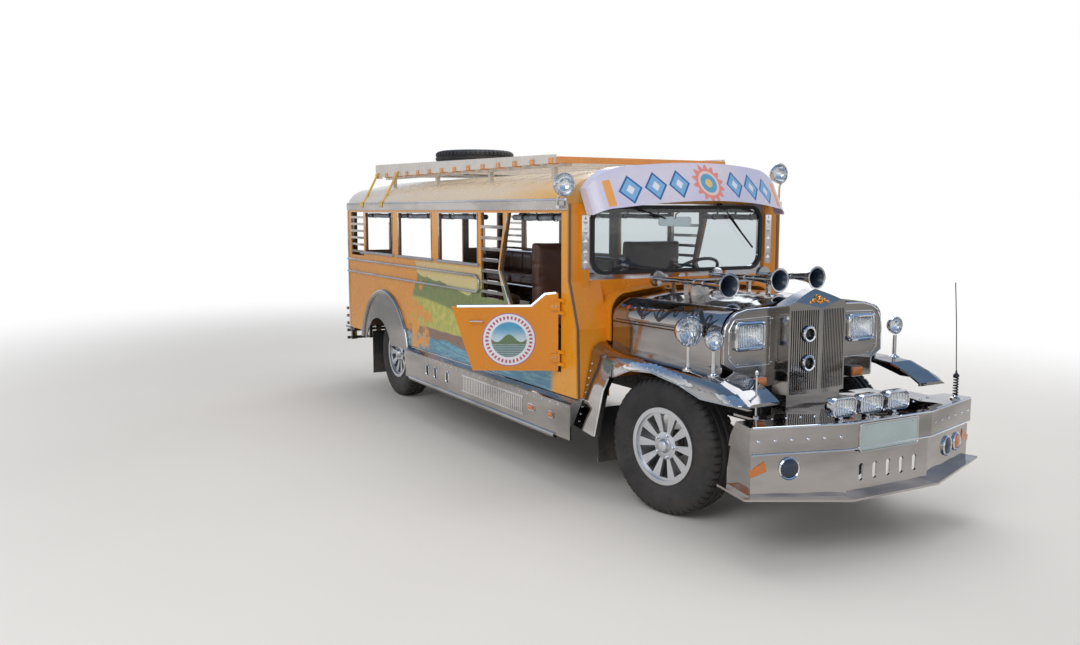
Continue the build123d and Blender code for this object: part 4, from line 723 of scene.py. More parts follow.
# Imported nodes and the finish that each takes
NODE_FINISHES = {
    "body_enamel": ["body_sides", "rear_wall"],
    "door_enamel": ["cowl", "door_right", "door_left"],
    "roof_enamel": ["roof"],
    "visor_paint": ["visor"],
    "bright_sheet": ["side_trim", "louvres", "rear_arches", "running_boards", "front_fenders", "hood",
                     "front_bumper", "rear_bumper"],
    "polished_tube": ["air_horns", "lamps"],
    "windshield_metal": ["windshield_frame"],
    "grille_metal": ["grille_shell"],
    "plate_steel": ["floor"],
    "black_paint": ["chassis_rails", "cross_members", "front_axle", "rear_axle", "leaf_springs", "drive_shaft",
                    "knuckle_right", "knuckle_left"],
    "engine_iron": ["engine_block"],
    "cream_paint": ["roof_rack"],
    "screen_glass": ["windshield_glass"],
    "flap_rubber": ["mudflaps"],
    "dash_plastic": ["dashboard", "steering_wheel"],
    "wheel_alloy": ["rim_front_right", "rim_front_left", "rim_rear_right", "rim_rear_left"],
    "tyre_rubber": ["tyre_front_right", "tyre_front_left", "tyre_rear_right", "tyre_rear_left", "spare_tyre"],
    "seat_vinyl": ["seats"],
    "coated_sheet": ["curtains"],
}


# Mesh forms

class Form:
    """Gathers shapes into one mesh piece."""

    def __init__(self):
        self.points = []
        self.faces = []
        self.smooth = []

    def add(self, points, faces, smooth=True):
        """Add points and the faces between them."""
        base = len(self.points)
        self.points.extend(Vector(point) for point in points)
        self.faces.extend(tuple(base + index for index in face) for face in faces)
        self.smooth.extend([smooth] * len(faces))

    def skin(self, rings, ends=True, closed=False, smooth=True):
        """A skin over rings of equal length; closed joins the last ring to the first."""
        count = len(rings[0])
        total = len(rings)
        faces = []
        for row in range(total if closed else total - 1):
            near, far = row * count, (row + 1) % total * count
            for index in range(count):
                step = (index + 1) % count
                faces.append((near + index, near + step, far + step, far + index))
        if ends and not closed:
            faces.append(tuple(reversed(range(count))))
            faces.append(tuple(range((total - 1) * count, total * count)))
        self.add([point for ring in rings for point in ring], faces, smooth)

    def lathe(self, centre, axis, profile, sides=32, ends=True, closed=False, smooth=True):
        """Turn a profile of (distance along the axis, radius) round an axis."""
        centre, axis = Vector(centre), Vector(axis).normalized()
        across = axis.orthogonal().normalized()
        up = axis.cross(across)
        turns = [2 * math.pi * side / sides for side in range(sides)]
        rings = [[centre + axis * along + (across * math.cos(turn) + up * math.sin(turn)) * radius
                  for turn in turns] for along, radius in profile]
        self.skin(rings, ends, closed, smooth)

    def tube(self, path, radius, sides=10, closed=False):
        """A round bar along a path of points."""
        path = [Vector(point) for point in path]
        total = len(path)
        rings, across = [], None
        for index, point in enumerate(path):
            before = path[index - 1] if index or closed else point
            after = path[(index + 1) % total] if index < total - 1 or closed else point
            along = (after - before).normalized()
            if across is None:
                across = along.orthogonal().normalized()
            across = (across - along * across.dot(along)).normalized()
            up = along.cross(across)
            rings.append([point + (across * math.cos(2 * math.pi * side / sides) + up
                                   * math.sin(2 * math.pi * side / sides)) * radius for side in range(sides)])
        self.skin(rings, True, closed)

    def ribbon(self, path, normals, halves, height=0.0012):
        """A flat band along a path of points, standing off a surface with the given normals."""
        rings = []
        for index, (point, normal, half) in enumerate(zip(path, normals, halves)):
            along = path[min(index + 1, len(path) - 1)] - path[max(index - 1, 0)]
            across = along.cross(normal).normalized() * half
            rings.append([point - across, point - across + normal * height, point + across + normal * height,
                          point + across])
        self.skin(rings, smooth=False)

    def block(self, low, high):
        """A box between two opposite corners."""
        points = [(x, y, z) for x in (low[0], high[0]) for y in (low[1], high[1]) for z in (low[2], high[2])]
        faces = [(0, 1, 3, 2), (4, 6, 7, 5), (0, 4, 5, 1), (2, 3, 7, 6), (0, 2, 6, 4), (1, 5, 7, 3)]
        self.add(points, faces, False)

    def prism(self, edge, reach):
        """A flat outline of points pushed along a vector."""
        edge, reach = [Vector(point) for point in edge], Vector(reach)
        self.skin([edge, [point + reach for point in edge]], smooth=False)

    def section(self, outline, rear, front, smooth=False):
        """An outline of (y, z) that runs from rear to front."""
        self.skin([[Vector((x, y, z)) for y, z in outline] for x in (rear, front)], smooth=smooth)

    def dome(self, centre, axis, radius, height, sides=10):
        """A low round head."""
        steps = [(height * math.sin(turn), radius * math.cos(turn)) for turn in (0.0, 0.5, 1.0, 1.4)]
        self.lathe(centre, axis, [(-height * 0.3, radius), *steps], sides)

    def mirror(self):
        """Repeat everything on the vehicle's other side."""
        base = len(self.points)
        self.points += [Vector((point.x, -point.y, point.z)) for point in self.points]
        self.faces += [tuple(base + index for index in reversed(face)) for face in self.faces]
        self.smooth += self.smooth

    def piece(self, name, finish_name, body="body", slot=None, bevel=0.0, matrix=None):
        """Make the mesh object, with its finish and body; the slot argument is not used."""
        mesh = bpy.data.meshes.new(name)
        mesh.from_pydata([tuple(point) for point in self.points], [], self.faces)
        mesh.polygons.foreach_set("use_smooth", self.smooth)
        work = bmesh.new()
        work.from_mesh(mesh)
        bmesh.ops.recalc_face_normals(work, faces=work.faces)
        work.to_mesh(mesh)
        work.free()
        mesh.set_sharp_from_angle(angle=math.radians(38))
        mesh.materials.append(finish(finish_name))
        made = placed(name, mesh, body, matrix or Matrix())
        if bevel:
            modifier = made.modifiers.new("Soft edges", "BEVEL")
            modifier.width = bevel
            modifier.segments = 2
            modifier.limit_method = "ANGLE"
            modifier.angle_limit = math.radians(50)
        return made


def placed(name, mesh, body, matrix):
    """Another object with a mesh, at its place and on its body."""
    made = bpy.data.objects.new(name, mesh)
    bpy.context.scene.collection.objects.link(made)
    made.matrix_world = matrix
    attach(made, body)
    return made


def repeated(form, finish_name, rows):
    """Pieces that share one mesh, from rows of (name, body, matrix)."""
    made = []
    for name, body, matrix in rows:
        if made:
            made.append(placed(name, made[0].data, body, matrix))
        else:
            made.append(form.piece(name, finish_name, body, matrix=matrix))
    return made


def spaced(start, end, pitch):
    """Evenly spaced points from start to end, both included."""
    start, end = Vector(start), Vector(end)
    count = max(1, round((end - start).length / pitch))
    return [start.lerp(end, index / count) for index in range(count + 1)]


def mirrored(point):
    """The same point on the other side of the vehicle."""
    return Vector((point[0], -point[1], point[2]))


def wheel_matrix(side, front):
    """Where a wheel stands; side is -1 on the right and 1 on the left."""
    turn = Matrix.Rotation(math.pi if side < 0 else 0.0, 4, "Z")
    if front:
        offset = Matrix.Translation((0, side * (WHEEL_PLANE_Y - KINGPIN_Y), 0))
        steered = Matrix.Rotation(PARKED_STEER, 4, "Z")
        return Matrix.Translation((0, side * KINGPIN_Y, TYRE_RADIUS)) @ steered @ offset @ turn
    return Matrix.Translation((-WHEELBASE, side * WHEEL_PLANE_Y, TYRE_RADIUS)) @ turn


SIDES = ((-1, "right"), (1, "left"))
WHEELS = [(f"{end}_{hand}", wheel_matrix(side, end == "front"))
          for end in ("front", "rear") for side, hand in SIDES]


def tyre_rings(radius, half, bead, pitches, depth):
    """Rings of a tyre about the Y axis: rounded walls, ribs, grooves and shoulder blocks."""
    wall = []
    for index in range(9):
        share = index / 8
        turn = math.pi * share
        wall.append((half * (0.78 + 0.22 * math.sin(turn * 0.62 + 0.35) ** 2 - 0.02 * share),
                     bead + 0.016 + (radius - 0.018 - bead - 0.016) * share))
    shoulder = half * 0.86
    rows = [(half * 0.76, bead, 0), *[(y, r, 0) for y, r in wall[:-1]], (shoulder, radius - 0.016, 1),
            (half * 0.74, radius - 0.003, 1), (half * 0.5, radius, 1), (half * 0.47, radius - depth, 2),
            (half * 0.39, radius - depth, 2), (half * 0.36, radius, 0), (half * 0.14, radius, 0),
            (half * 0.11, radius - depth, 2), (0.0, radius - depth, 2)]
    rows = rows + [(-y, r, kind) for y, r, kind in reversed(rows[:-1])]
    rings = []
    for pitch in range(pitches):
        for share, cut in ((0.0, 0), (0.7, 0), (0.74, 1), (0.96, 1)):
            turn = 2 * math.pi * (pitch + share) / pitches
            ring = []
            for y, r, kind in rows:
                shift = 0.5 if y < 0 else 0.0
                angle = turn + 2 * math.pi * shift / pitches
                low = r - depth if kind == 1 and cut else r
                ring.append(Vector((math.sin(angle) * low, y, math.cos(angle) * low)))
            rings.append(ring)
    return rings


def tyre_form(radius, half, bead):
    """A tyre's closed skin."""
    form = Form()
    form.skin(tyre_rings(radius, half, bead, sizes().tread_pitches, sizes().groove_depth), False, True)
    return form


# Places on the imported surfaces

def ring_at(x, middle, width, height, corner, steps=5):
    """A rounded rectangle that faces forward at x, about a middle of (y, z)."""
    points = []
    for across, up, start in ((1, 1, 0), (-1, 1, 90), (-1, -1, 180), (1, -1, 270)):
        for step in range(steps + 1):
            turn = math.radians(start + 90 * step / steps)
            points.append(Vector((x, middle[0] + across * (width / 2 - corner) + corner * math.cos(turn),
                                  middle[1] + up * (height / 2 - corner) + corner * math.sin(turn))))
    return points


def rings_at(x, middle, rows):
    """Rounded rectangles about one middle, from rows of (distance ahead of x, width, height, corner)."""
    return [ring_at(x + ahead, middle, *row) for ahead, *row in rows]


def height_on(line, x):
    """The height at x of a line through (x, z) points."""
    for (x0, z0), (x1, z1) in zip(line, line[1:]):
        if x <= x1:
            return z0 + (z1 - z0) * max(0.0, x - x0) / (x1 - x0)
    return line[-1][1]


def wing_skin(x, z, lift=0.0):
    """A point on the right wing's outer face at x and z, and the way it faces."""
    centre = height_on(WING_TOP, x) - WING_EDGE
    if z <= centre:
        return Vector((x, -WING_OUTER - lift, z)), Vector((0, -1, 0))
    rise = min(1.0, (z - centre) / WING_EDGE)
    normal = Vector((0, -math.sqrt(1 - rise * rise), rise))
    return Vector((x, -WING_OUTER + WING_EDGE, centre)) + normal * (WING_EDGE + lift), normal


def hood_skin(x, turn, lift=0.0):
    """A point on the hood's right shoulder; turn runs from its side up to its top."""
    (rear, rear_half), (front, front_half) = HOOD_ENDS
    half = rear_half + (front_half - rear_half) * (x - rear) / (front - rear)
    reach = HOOD_CORNER + lift
    return Vector((x, HOOD_CORNER - half - reach * math.cos(turn), HOOD_SHOULDER + reach * math.sin(turn)))


def shoulder_facing(turn):
    """The way that the hood's right shoulder faces."""
    return Vector((0, -math.cos(turn), math.sin(turn)))


def bumper_skin(along, z, side=-1, lift=0.0):
    """A point on the bumper's slanted face, measured from the corner of its nose."""
    ahead, across = BUMPER_FACING
    return Vector((BUMPER_NOSE_X - across * along + ahead * lift,
                   side * (BUMPER_NOSE_HALF + ahead * along + across * lift), z))


def bumper_facing(side):
    """The way that a slanted side of the bumper faces."""
    return Vector((BUMPER_FACING[0], side * BUMPER_FACING[1], 0))


# Operators

def pale_floor():
    """A pale floor that fades into the white background a few metres from the vehicle."""
    made = Finish("studio_floor", (0.8, 0.77, 0.73), 0.85)
    x, y, _ = made.place()
    made.set("Base Color", made.mix(made.noise(0.8, 5.0), (0.8, 0.77, 0.73), (0.76, 0.73, 0.69)))
    away = made.add("ShaderNodeVectorMath", {"operation": "LENGTH"})
    centred = made.add("ShaderNodeCombineXYZ", X=made.times(made.plus(x, 2.2), 0.62), Y=y)
    made.feed(away.inputs[0], centred.outputs[0])
    path = made.add("ShaderNodeLightPath").outputs
    seen = made.math("MAXIMUM", path["Is Camera Ray"], path["Is Transmission Ray"])
    far = made.times(made.rise(away.outputs["Value"], 3.2, 8.5), seen)
    glow = made.add("ShaderNodeEmission", Color=(1, 1, 1, 1), Strength=1.0)
    both = made.nodes.new("ShaderNodeMixShader")
    for socket, value in zip(both.inputs, (far, made.shader.outputs[0], glow.outputs[0])):
        made.feed(socket, value)
    made.feed(made.nodes["Material Output"].inputs["Surface"], both.outputs[0])
    return made.material


class JEEPNEY_OT_stage(bpy.types.Operator):
    """Floor, backdrop light, lamps and camera"""

    bl_idname = "jeepney.stage"
    bl_label = "Stage and camera"

    def execute(self, context):
        stage = context.scene.jeepney_stage
        world = bpy.data.worlds.new("Studio")
        context.scene.world = world
        world.use_nodes = True
        tree = Tree(world.node_tree)
        for node in list(tree.nodes):
            tree.nodes.remove(node)
        direction = tree.add("ShaderNodeTexCoord").outputs["Generated"]
        height = tree.add("ShaderNodeSeparateXYZ", Vector=direction).outputs[2]
        sky = tree.mix(tree.rise(height, 0.02, 0.55), (1.0, 1.0, 1.0), (0.22, 0.36, 0.6))
        path = tree.add("ShaderNodeLightPath").outputs
        seen = tree.mix(path["Is Camera Ray"], sky, (1.0, 1.0, 1.0))
        share = tree.math("MAXIMUM", tree.math("MAXIMUM", path["Is Camera Ray"], path["Is Glossy Ray"]),
                          path["Is Transmission Ray"])
        soft = tree.add("ShaderNodeBackground", Color=(0.95, 0.97, 1.0), Strength=0.55)
        shown = tree.add("ShaderNodeBackground", Color=seen, Strength=1.0)
        both = tree.nodes.new("ShaderNodeMixShader")
        tree.feed(both.inputs[0], share)
        tree.feed(both.inputs[1], soft.outputs[0])
        tree.feed(both.inputs[2], shown.outputs[0])
        tree.feed(tree.nodes.new("ShaderNodeOutputWorld").inputs["Surface"], both.outputs[0])

        mesh = bpy.data.meshes.new("studio_floor")
        mesh.from_pydata([(-60, -60, 0), (60, -60, 0), (60, 60, 0), (-60, 60, 0)], [], [(0, 1, 2, 3)])
        ground = bpy.data.objects.new("studio_floor", mesh)
        mesh.materials.append(pale_floor())
        context.scene.collection.objects.link(ground)

        middle = Vector((-2.0, 0.0, 1.0))
        for name, place, size, share in (
                ("key_lamp", (3.5, -7.5, 6.5), 6.0, 1.0), ("top_lamp", (-2.5, 1.5, 7.5), 7.0, 1.0),
                ("back_lamp", (-8.0, 6.0, 5.0), 5.0, 0.5)):
            light = bpy.data.lights.new(name, "AREA")
            light.shape = "DISK"
            light.size = size
            light.energy = stage.lamp_power * share
            lamp = bpy.data.objects.new(name, light)
            lamp.location = place
            lamp.rotation_euler = (middle - lamp.location).to_track_quat("-Z", "Y").to_euler()
            context.scene.collection.objects.link(lamp)

        camera = bpy.data.objects.new("photo_camera", bpy.data.cameras.new("photo_camera"))
        camera.data.lens = stage.camera_lens
        camera.data.sensor_width = 36.0
        camera.data.clip_end = 200.0
        level = math.cos(stage.camera_pitch)
        view = Vector((-level * math.cos(stage.camera_heading), level * math.sin(stage.camera_heading),
                       -math.sin(stage.camera_pitch)))
        camera.location = stage.camera_place
        camera.rotation_euler = view.to_track_quat("-Z", "Y").to_euler()
        context.scene.collection.objects.link(camera)
        context.scene.camera = camera
        context.scene.view_settings.view_transform = "Standard"
        return {"FINISHED"}


class JEEPNEY_OT_finishes(bpy.types.Operator):
    """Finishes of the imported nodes"""

    bl_idname = "jeepney.finishes"
    bl_label = "Finishes of the packed nodes"

    def execute(self, context):
        for name, nodes in NODE_FINISHES.items():
            for node in nodes:
                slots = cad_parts[node].material_slots
                if not slots:
                    raise RuntimeError(f"{node} has no material slot")
                for slot in slots:
                    slot.material = finish(name)
        return {"FINISHED"}


class JEEPNEY_OT_tyres(bpy.types.Operator):
    """Treaded tyres on the four wheels and on the roof"""

    bl_idname = "jeepney.tyres"
    bl_label = "Tyres"

    def execute(self, context):
        form = tyre_form(TYRE_RADIUS, TYRE_HALF_WIDTH, BEAD_RADIUS)
        rows = [(f"tyre_{wheel}_tread", f"{wheel}_wheel", matrix) for wheel, matrix in WHEELS]
        for made, (wheel, _) in zip(repeated(form, "tyre_rubber", rows), WHEELS):
            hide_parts("tyre_" + wheel)
        middle = (SPARE_LOW + SPARE_HIGH) / 2
        radius = (SPARE_HIGH.x - SPARE_LOW.x) / 2
        half = (SPARE_HIGH.z - SPARE_LOW.z) / 2
        flat = Matrix.Translation(middle) @ Matrix.Rotation(math.pi / 2, 4, "X")
        spare = tyre_form(radius, half, SPARE_BEAD).piece("spare_tyre_tread", "tyre_rubber", matrix=flat)
        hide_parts("spare_tyre")
        return {"FINISHED"}


# Soft pieces

def swelled(size, cap, voxel):
    """A stuffed block about the origin: remeshed, swelled by cloth pressure and capped in its movement."""
    work = bmesh.new()
    bmesh.ops.create_cube(work, size=1.0)
    bmesh.ops.scale(work, vec=[side - cap for side in size], verts=work.verts)
    bmesh.ops.bevel(work, geom=list(work.edges), offset=min(size) * 0.24, segments=3, affect="EDGES",
                    profile=0.5)
    mesh = bpy.data.meshes.new("cushion_blank")
    work.to_mesh(mesh)
    work.free()
    blank = bpy.data.objects.new("cushion_blank", mesh)
    scene = bpy.context.scene
    scene.collection.objects.link(blank)
    remesh = blank.modifiers.new("Even mesh", "REMESH")
    remesh.mode = "VOXEL"
    remesh.voxel_size = voxel
    graph = bpy.context.evaluated_depsgraph_get()
    even = bpy.data.meshes.new_from_object(blank.evaluated_get(graph))
    blank.modifiers.clear()
    blank.data = even
    cloth = blank.modifiers.new("Stuffing", "CLOTH")
    cloth.settings.quality = 4
    cloth.settings.mass = 0.3
    cloth.settings.use_pressure = True
    cloth.settings.uniform_pressure_force = 4.0
    cloth.settings.effector_weights.gravity = 0.0
    cloth.settings.tension_stiffness = 18.0
    cloth.settings.compression_stiffness = 12.0
    cloth.collision_settings.use_self_collision = False
    cloth.collision_settings.use_collision = False
    for step in range(1, 21):
        scene.frame_set(step)
    graph = bpy.context.evaluated_depsgraph_get()
    swollen = bpy.data.meshes.new_from_object(blank.evaluated_get(graph))
    blank.modifiers.clear()
    for vertex, moved in zip(even.vertices, swollen.vertices):
        push = moved.co - vertex.co
        if push.length > cap:
            push = push.normalized() * cap
        vertex.co = vertex.co + push
    bpy.data.meshes.remove(swollen)
    scene.frame_set(1)
    bpy.data.objects.remove(blank)
    bpy.data.meshes.remove(mesh)
    return even


def cushion_form(size, channels, cap=0.014, voxel=0.01):
    """A cushion with sewn channels across X and piping round its upper edge."""
    mesh = swelled(size, cap, voxel)
    points = [vertex.co.copy() for vertex in mesh.vertices]
    top = size[2] / 2
    for point in points:
        for place in channels:
            fall = math.exp(-((point.x - place) / 0.011) ** 2)
            point.z -= 0.009 * fall * max(0.0, point.z / top)
            point.y -= 0.007 * fall * point.y / (size[1] / 2)
    form = Form()
    form.add(points, [tuple(face.vertices) for face in mesh.polygons])
    finder = kdtree.KDTree(len(points))
    for index, point in enumerate(points):
        finder.insert(point, index)
    finder.balance()
    flat = ring_at(0.0, (0.0, 0.0), size[0] - 0.012, size[1] - 0.012, 0.03)
    corners = [Vector((point.y, point.z, top * 0.55)) for point in flat]
    path = []
    for start, end in zip(corners, corners[1:] + corners[:1]):
        steps = max(1, round((end - start).length / 0.02))
        path += [start.lerp(end, step / steps) for step in range(steps)]
    snapped = [finder.find(point)[0] for point in path]
    for _ in range(3):
        snapped = [(snapped[index - 1] + snapped[index] * 2 + snapped[(index + 1) % len(snapped)]) / 4
                   for index in range(len(snapped))]
    form.tube(snapped, 0.0045, 6, True)
    bpy.data.meshes.remove(mesh)
    return form


def padded_cushions(form, rows):
    """Cushions of one kind that share one mesh, in place of the imported seats."""
    for piece in repeated(form, "seat_vinyl", rows):
        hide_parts("seats")


def seat_boards():
    """Plywood under the benches, their front boards, and the steel boxes of the front seats."""
    rear, front = BENCH_ENDS
    wood = Form()
    wood.block((rear, -0.898, 1.08), (front, -0.522, 1.096))
    wood.block((rear, -0.898, 1.176), (front, -0.886, 1.398))
    for x0, x1 in BENCH_BOARDS:
        wood.block((x0, -0.544, 0.746), (x1, -0.524, 1.08))
        for x in (x0 + 0.06, x1 - 0.06):
            wood.block((x - 0.02, -0.9, 0.746), (x + 0.02, -0.544, 1.08))
    wood.mirror()
    made = wood.piece("bench_boards", "bench_ply", bevel=0.002)
    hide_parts("seats")
    rim = Form()
    rim.tube([(rear, -0.526, 1.086), (front, -0.526, 1.086)], 0.009, 8)
    rim.tube([(rear, -0.876, 1.41), (front, -0.876, 1.41)], 0.011, 8)
    rim.mirror()
    rim.piece("bench_edge_tubes", "polished_tube")
    base = Form()
    for side in (-1, 1):
        base.block((-1.64, side * 0.15, 0.746), (-1.24, side * 0.68, 1.004))
        base.block((-1.676, side * 0.14, 1.0), (-1.186, side * 0.69, 1.014))
        for y in (side * 0.18, side * 0.65):
            base.tube([(-1.7, y, 1.006), (-1.742, y, 1.2), (-1.756, y, 1.56)], 0.012, 8)
    made = base.piece("front_seat_boxes", "black_paint", bevel=0.004)
    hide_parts("seats")


class JEEPNEY_OT_seats(bpy.types.Operator):
    """Bench and front seat cushions, swelled by a cloth simulation, with their boards and bases"""

    bl_idname = "jeepney.seats"
    bl_label = "Seats"

    def execute(self, context):
        rear, front = BENCH_ENDS
        length = (front - rear) / BENCH_CUSHIONS
        size, channels = length - 0.008, (-length / 6, length / 6)
        flat, lean = Matrix(), Matrix.Rotation(-math.pi / 2, 4, "X")
        for kind, form, y, z, tilt in (
                ("seat", cushion_form((size, 0.374, 0.088), channels), 0.709, 1.136, flat),
                ("back", cushion_form((size, 0.214, 0.064), channels, 0.01), 0.862, 1.295, lean)):
            rows = [(f"bench_{kind}_{hand}_{index + 1}", "body",
                     Matrix.Translation((rear + length * (index + 0.5), side * y, z))
                     @ Matrix.Rotation(math.pi if side > 0 else 0.0, 4, "Z") @ tilt)
                    for side, hand in SIDES for index in range(BENCH_CUSHIONS)]
            padded_cushions(form, rows)
        upright = Matrix.Rotation(-math.pi / 2, 4, "Y")
        for kind, form, x, z, tilt in (
                ("seat", cushion_form((0.49, 0.562, 0.108), (-0.08, 0.08), 0.018), -1.43, 1.066, flat),
                ("back", cushion_form((0.512, 0.562, 0.098), (-0.09, 0.08), 0.016), -1.708, 1.378, upright)):
            rows = [(f"front_{kind}_{hand}", "body", Matrix.Translation((x, side * 0.415, z)) @ tilt)
                    for side, hand in SIDES]
            padded_cushions(form, rows)
        seat_boards()
        return {"FINISHED"}


def window_cover(name, side, rear, front):
    """One rolled sheet with its straps."""
    turns = sizes().cover_turns
    count = 46
    along = max(2, round((front - rear) / 0.03))
    gaps = max(1, round((front - rear) / 0.5))
    ties = [rear + 0.16 + (front - rear - 0.32) * index / gaps for index in range(gaps + 1)]
    axis_y = HALF_WIDTH - 0.06
    form = Form()
    points, length = [], 0.0
    for step in range(along + 1):
        x = rear + (front - rear) * step / along
        pinch = 1.0 - 0.1 * sum(math.exp(-((x - tie) / 0.035) ** 2) for tie in ties)
        sway = 0.0015 * math.sin(x * 9.0 + side) + 0.001 * math.sin(x * 23.0)
        before = None
        for index in range(count + 1):
            share = index / count
            angle = 2 * math.pi * turns * share
            wave = 1.0 + 0.035 * math.sin(x * 17.0 + angle * 2.0) * math.sin(x * 5.0)
            radius = (COVER_INNER + (COVER_OUTER - COVER_INNER) * share) * pinch * wave
            point = Vector((x, side * (axis_y + math.cos(angle) * radius),
                            COVER_Z + sway + math.sin(angle) * radius))
            points.append(point)
            if step == along // 2 and before is not None:
                length += (point - before).length
            before = point
    row = count + 1
    faces = [(r * row + c, r * row + c + 1, (r + 1) * row + c + 1, (r + 1) * row + c) for r in range(along)
             for c in range(count)]
    form.add(points, faces)
    sheet = form.piece(name, "coated_sheet")
    thick = sheet.modifiers.new("Sheet thickness", "SOLIDIFY")
    thick.thickness = 0.0011
    thick.offset = 0.0
    straps = Form()
    for tie in ties:
        straps.lathe((tie - 0.011, side * axis_y, COVER_Z), (1, 0, 0),
                     [(0.0, 0.0236), (0.022, 0.0236), (0.022, 0.0256), (0.0, 0.0256)], 20, closed=True)
        for near, far, low, high in (
                (axis_y + 0.023, HALF_WIDTH - 0.03, -0.01, 0.01),
                (HALF_WIDTH - 0.0322, HALF_WIDTH - 0.0298, -0.012, 0.075)):
            straps.block((tie - 0.011, side * near, COVER_Z + low), (tie + 0.011, side * far, COVER_Z + high))
    band = straps.piece(name + "_straps", "flap_rubber")
    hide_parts("curtains")


class JEEPNEY_OT_window_covers(bpy.types.Operator):
    """Coated sheets rolled up above the windows and doorways, with their straps"""

    bl_idname = "jeepney.window_covers"
    bl_label = "Rolled window covers"

    def execute(self, context):
        for side, hand in SIDES:
            for place, (rear, front) in COVER_RANGES.items():
                window_cover(f"{place}_cover_{hand}", side, rear, front)
        return {"FINISHED"}


# Lamps

def bowl(case, cup, lens, centre, radius):
    """A round lamp that faces forward: bowl with its rim, reflector with its bulb, and domed lens."""
    def turned(form, rows, least, sides, closed=True):
        profile = [(along * radius, max(least, reach * radius)) for along, reach in rows]
        form.lathe(centre, (1, 0, 0), profile, sides, closed=closed)

    turned(case, [(-1, 0), (-0.95, 0.31), (-0.78, 0.62), (-0.5, 0.86), (-0.15, 0.985), (0.02, 1), (0.04, 1.05),
                  (0.2, 1.05), (0.24, 0.99), (0.2, 0.93), (0.05, 0.93), (-0.2, 0.9), (-0.5, 0.78), (-0.9, 0.25),
                  (-0.94, 0)], 0.002, 32)
    turned(cup, [(0.1, 0.92), (-0.1, 0.87), (-0.36, 0.7), (-0.55, 0.44), (-0.63, 0.12), (-0.66, 0.12),
                 (-0.58, 0.46), (-0.38, 0.73), (-0.11, 0.9), (0.1, 0.935)], 0.0, 28)
    turned(cup, [(-0.66, 0.13), (-0.4, 0.1), (-0.3, 0.16), (-0.16, 0.1), (-0.12, 0)], 0.004, 12, False)
    turned(lens, [(0.1, 0.925), (0.19, 0.92), (0.27, 0.74), (0.33, 0.48), (0.36, 0.2), (0.365, 0), (0.33, 0),
                  (0.29, 0.48), (0.22, 0.76), (0.11, 0.9)], 0.004, 28)


def headlamps(case, cup, lens):
    """The right headlamp: moulded bezel, dished reflector with its bulb, and a bowed lens."""
    x, middle = LAMP_FACE_X, (-HEADLAMP_Y, HEADLAMP_Z)
    w, h, c = 0.2, 0.142, 0.024

    def rings(rows):
        return rings_at(x, middle,
                        [(ahead, w + wider, h + higher, c + corner) for ahead, wider, higher, corner in rows])

    case.skin(rings([(0.0004, 0.034, 0.034, 0.015), (0.012, 0.034, 0.034, 0.015), (0.022, 0.02, 0.02, 0.01),
                     (0.026, 0.004, 0.004, 0.002), (0.022, -0.01, -0.01, -0.004),
                     (0.0004, -0.012, -0.012, -0.005)]), closed=True)
    dish = [(0.02, 0.0), (0.004, 0.01), (-0.014, 0.04), (-0.03, 0.086), (-0.038, 0.116), (-0.041, 0.116),
            (-0.032, 0.082), (-0.016, 0.036), (0.002, 0.006), (0.02, -0.004)]
    cup.skin(rings([(deep, -0.012 - less, -0.012 - min(less, 0.105), max(0.006 - c, -0.006 - less * 0.1))
                    for deep, less in dish]), closed=True)
    cup.lathe((x - 0.042, *middle), (1, 0, 0),
              [(0.0, 0.04), (0.004, 0.016), (0.018, 0.012), (0.03, 0.018), (0.04, 0.012), (0.044, 0.001)], 14)
    lens.skin(rings([(0.015, -0.013, -0.013, -0.006), (0.021, -0.013, -0.013, -0.006),
                     (0.0255, -0.04, -0.04, -0.008), (0.028, -0.09, -0.08, -0.01)]))
    for y in (-HEADLAMP_Y - 0.104, -HEADLAMP_Y + 0.104):
        for z in (HEADLAMP_Z - 0.074, HEADLAMP_Z + 0.074):
            case.dome((x + 0.018, y, z), (1, 0, 0), 0.006, 0.004, 8)


def amber_lamps(case, amber, box):
    """The right amber lamp on its black box."""
    x, middle = 0.506, (-0.395, 0.87)
    box.block((LAMP_FACE_X, -0.444, 0.838), (x, -0.346, 0.902))
    amber.skin(rings_at(x, middle,
                        [(0, 0.09, 0.056, 0.012), (0.014, 0.088, 0.054, 0.012), (0.022, 0.066, 0.034, 0.01)]))
    case.skin(rings_at(x, middle,
                       [(0.0002, 0.098, 0.064, 0.014), (0.006, 0.097, 0.063, 0.014),
                        (0.006, 0.091, 0.057, 0.012), (0.0002, 0.091, 0.057, 0.012)]), closed=True)


def tail_lamps(case, red, amber):
    """The right tail lamp: two lenses in one bright frame."""
    x, y = REAR_X, -0.81
    case.skin(rings_at(x, (y, 1.28),
                       [(0, 0.116, 0.216, 0.016), (-0.012, 0.114, 0.214, 0.016), (-0.016, 0.098, 0.198, 0.012),
                        (0, 0.096, 0.196, 0.012)]), closed=True)
    case.block((x - 0.014, y - 0.05, 1.295), (x - 0.001, y + 0.05, 1.305))
    for form, z, high in ((red, 1.238, 0.112), (amber, 1.342, 0.072)):
        form.skin(rings_at(x, (y, z),
                           [(-0.001, 0.096, high, 0.01), (-0.018, 0.094, high - 0.002, 0.012),
                            (-0.026, 0.07, high - 0.03, 0.01)]))


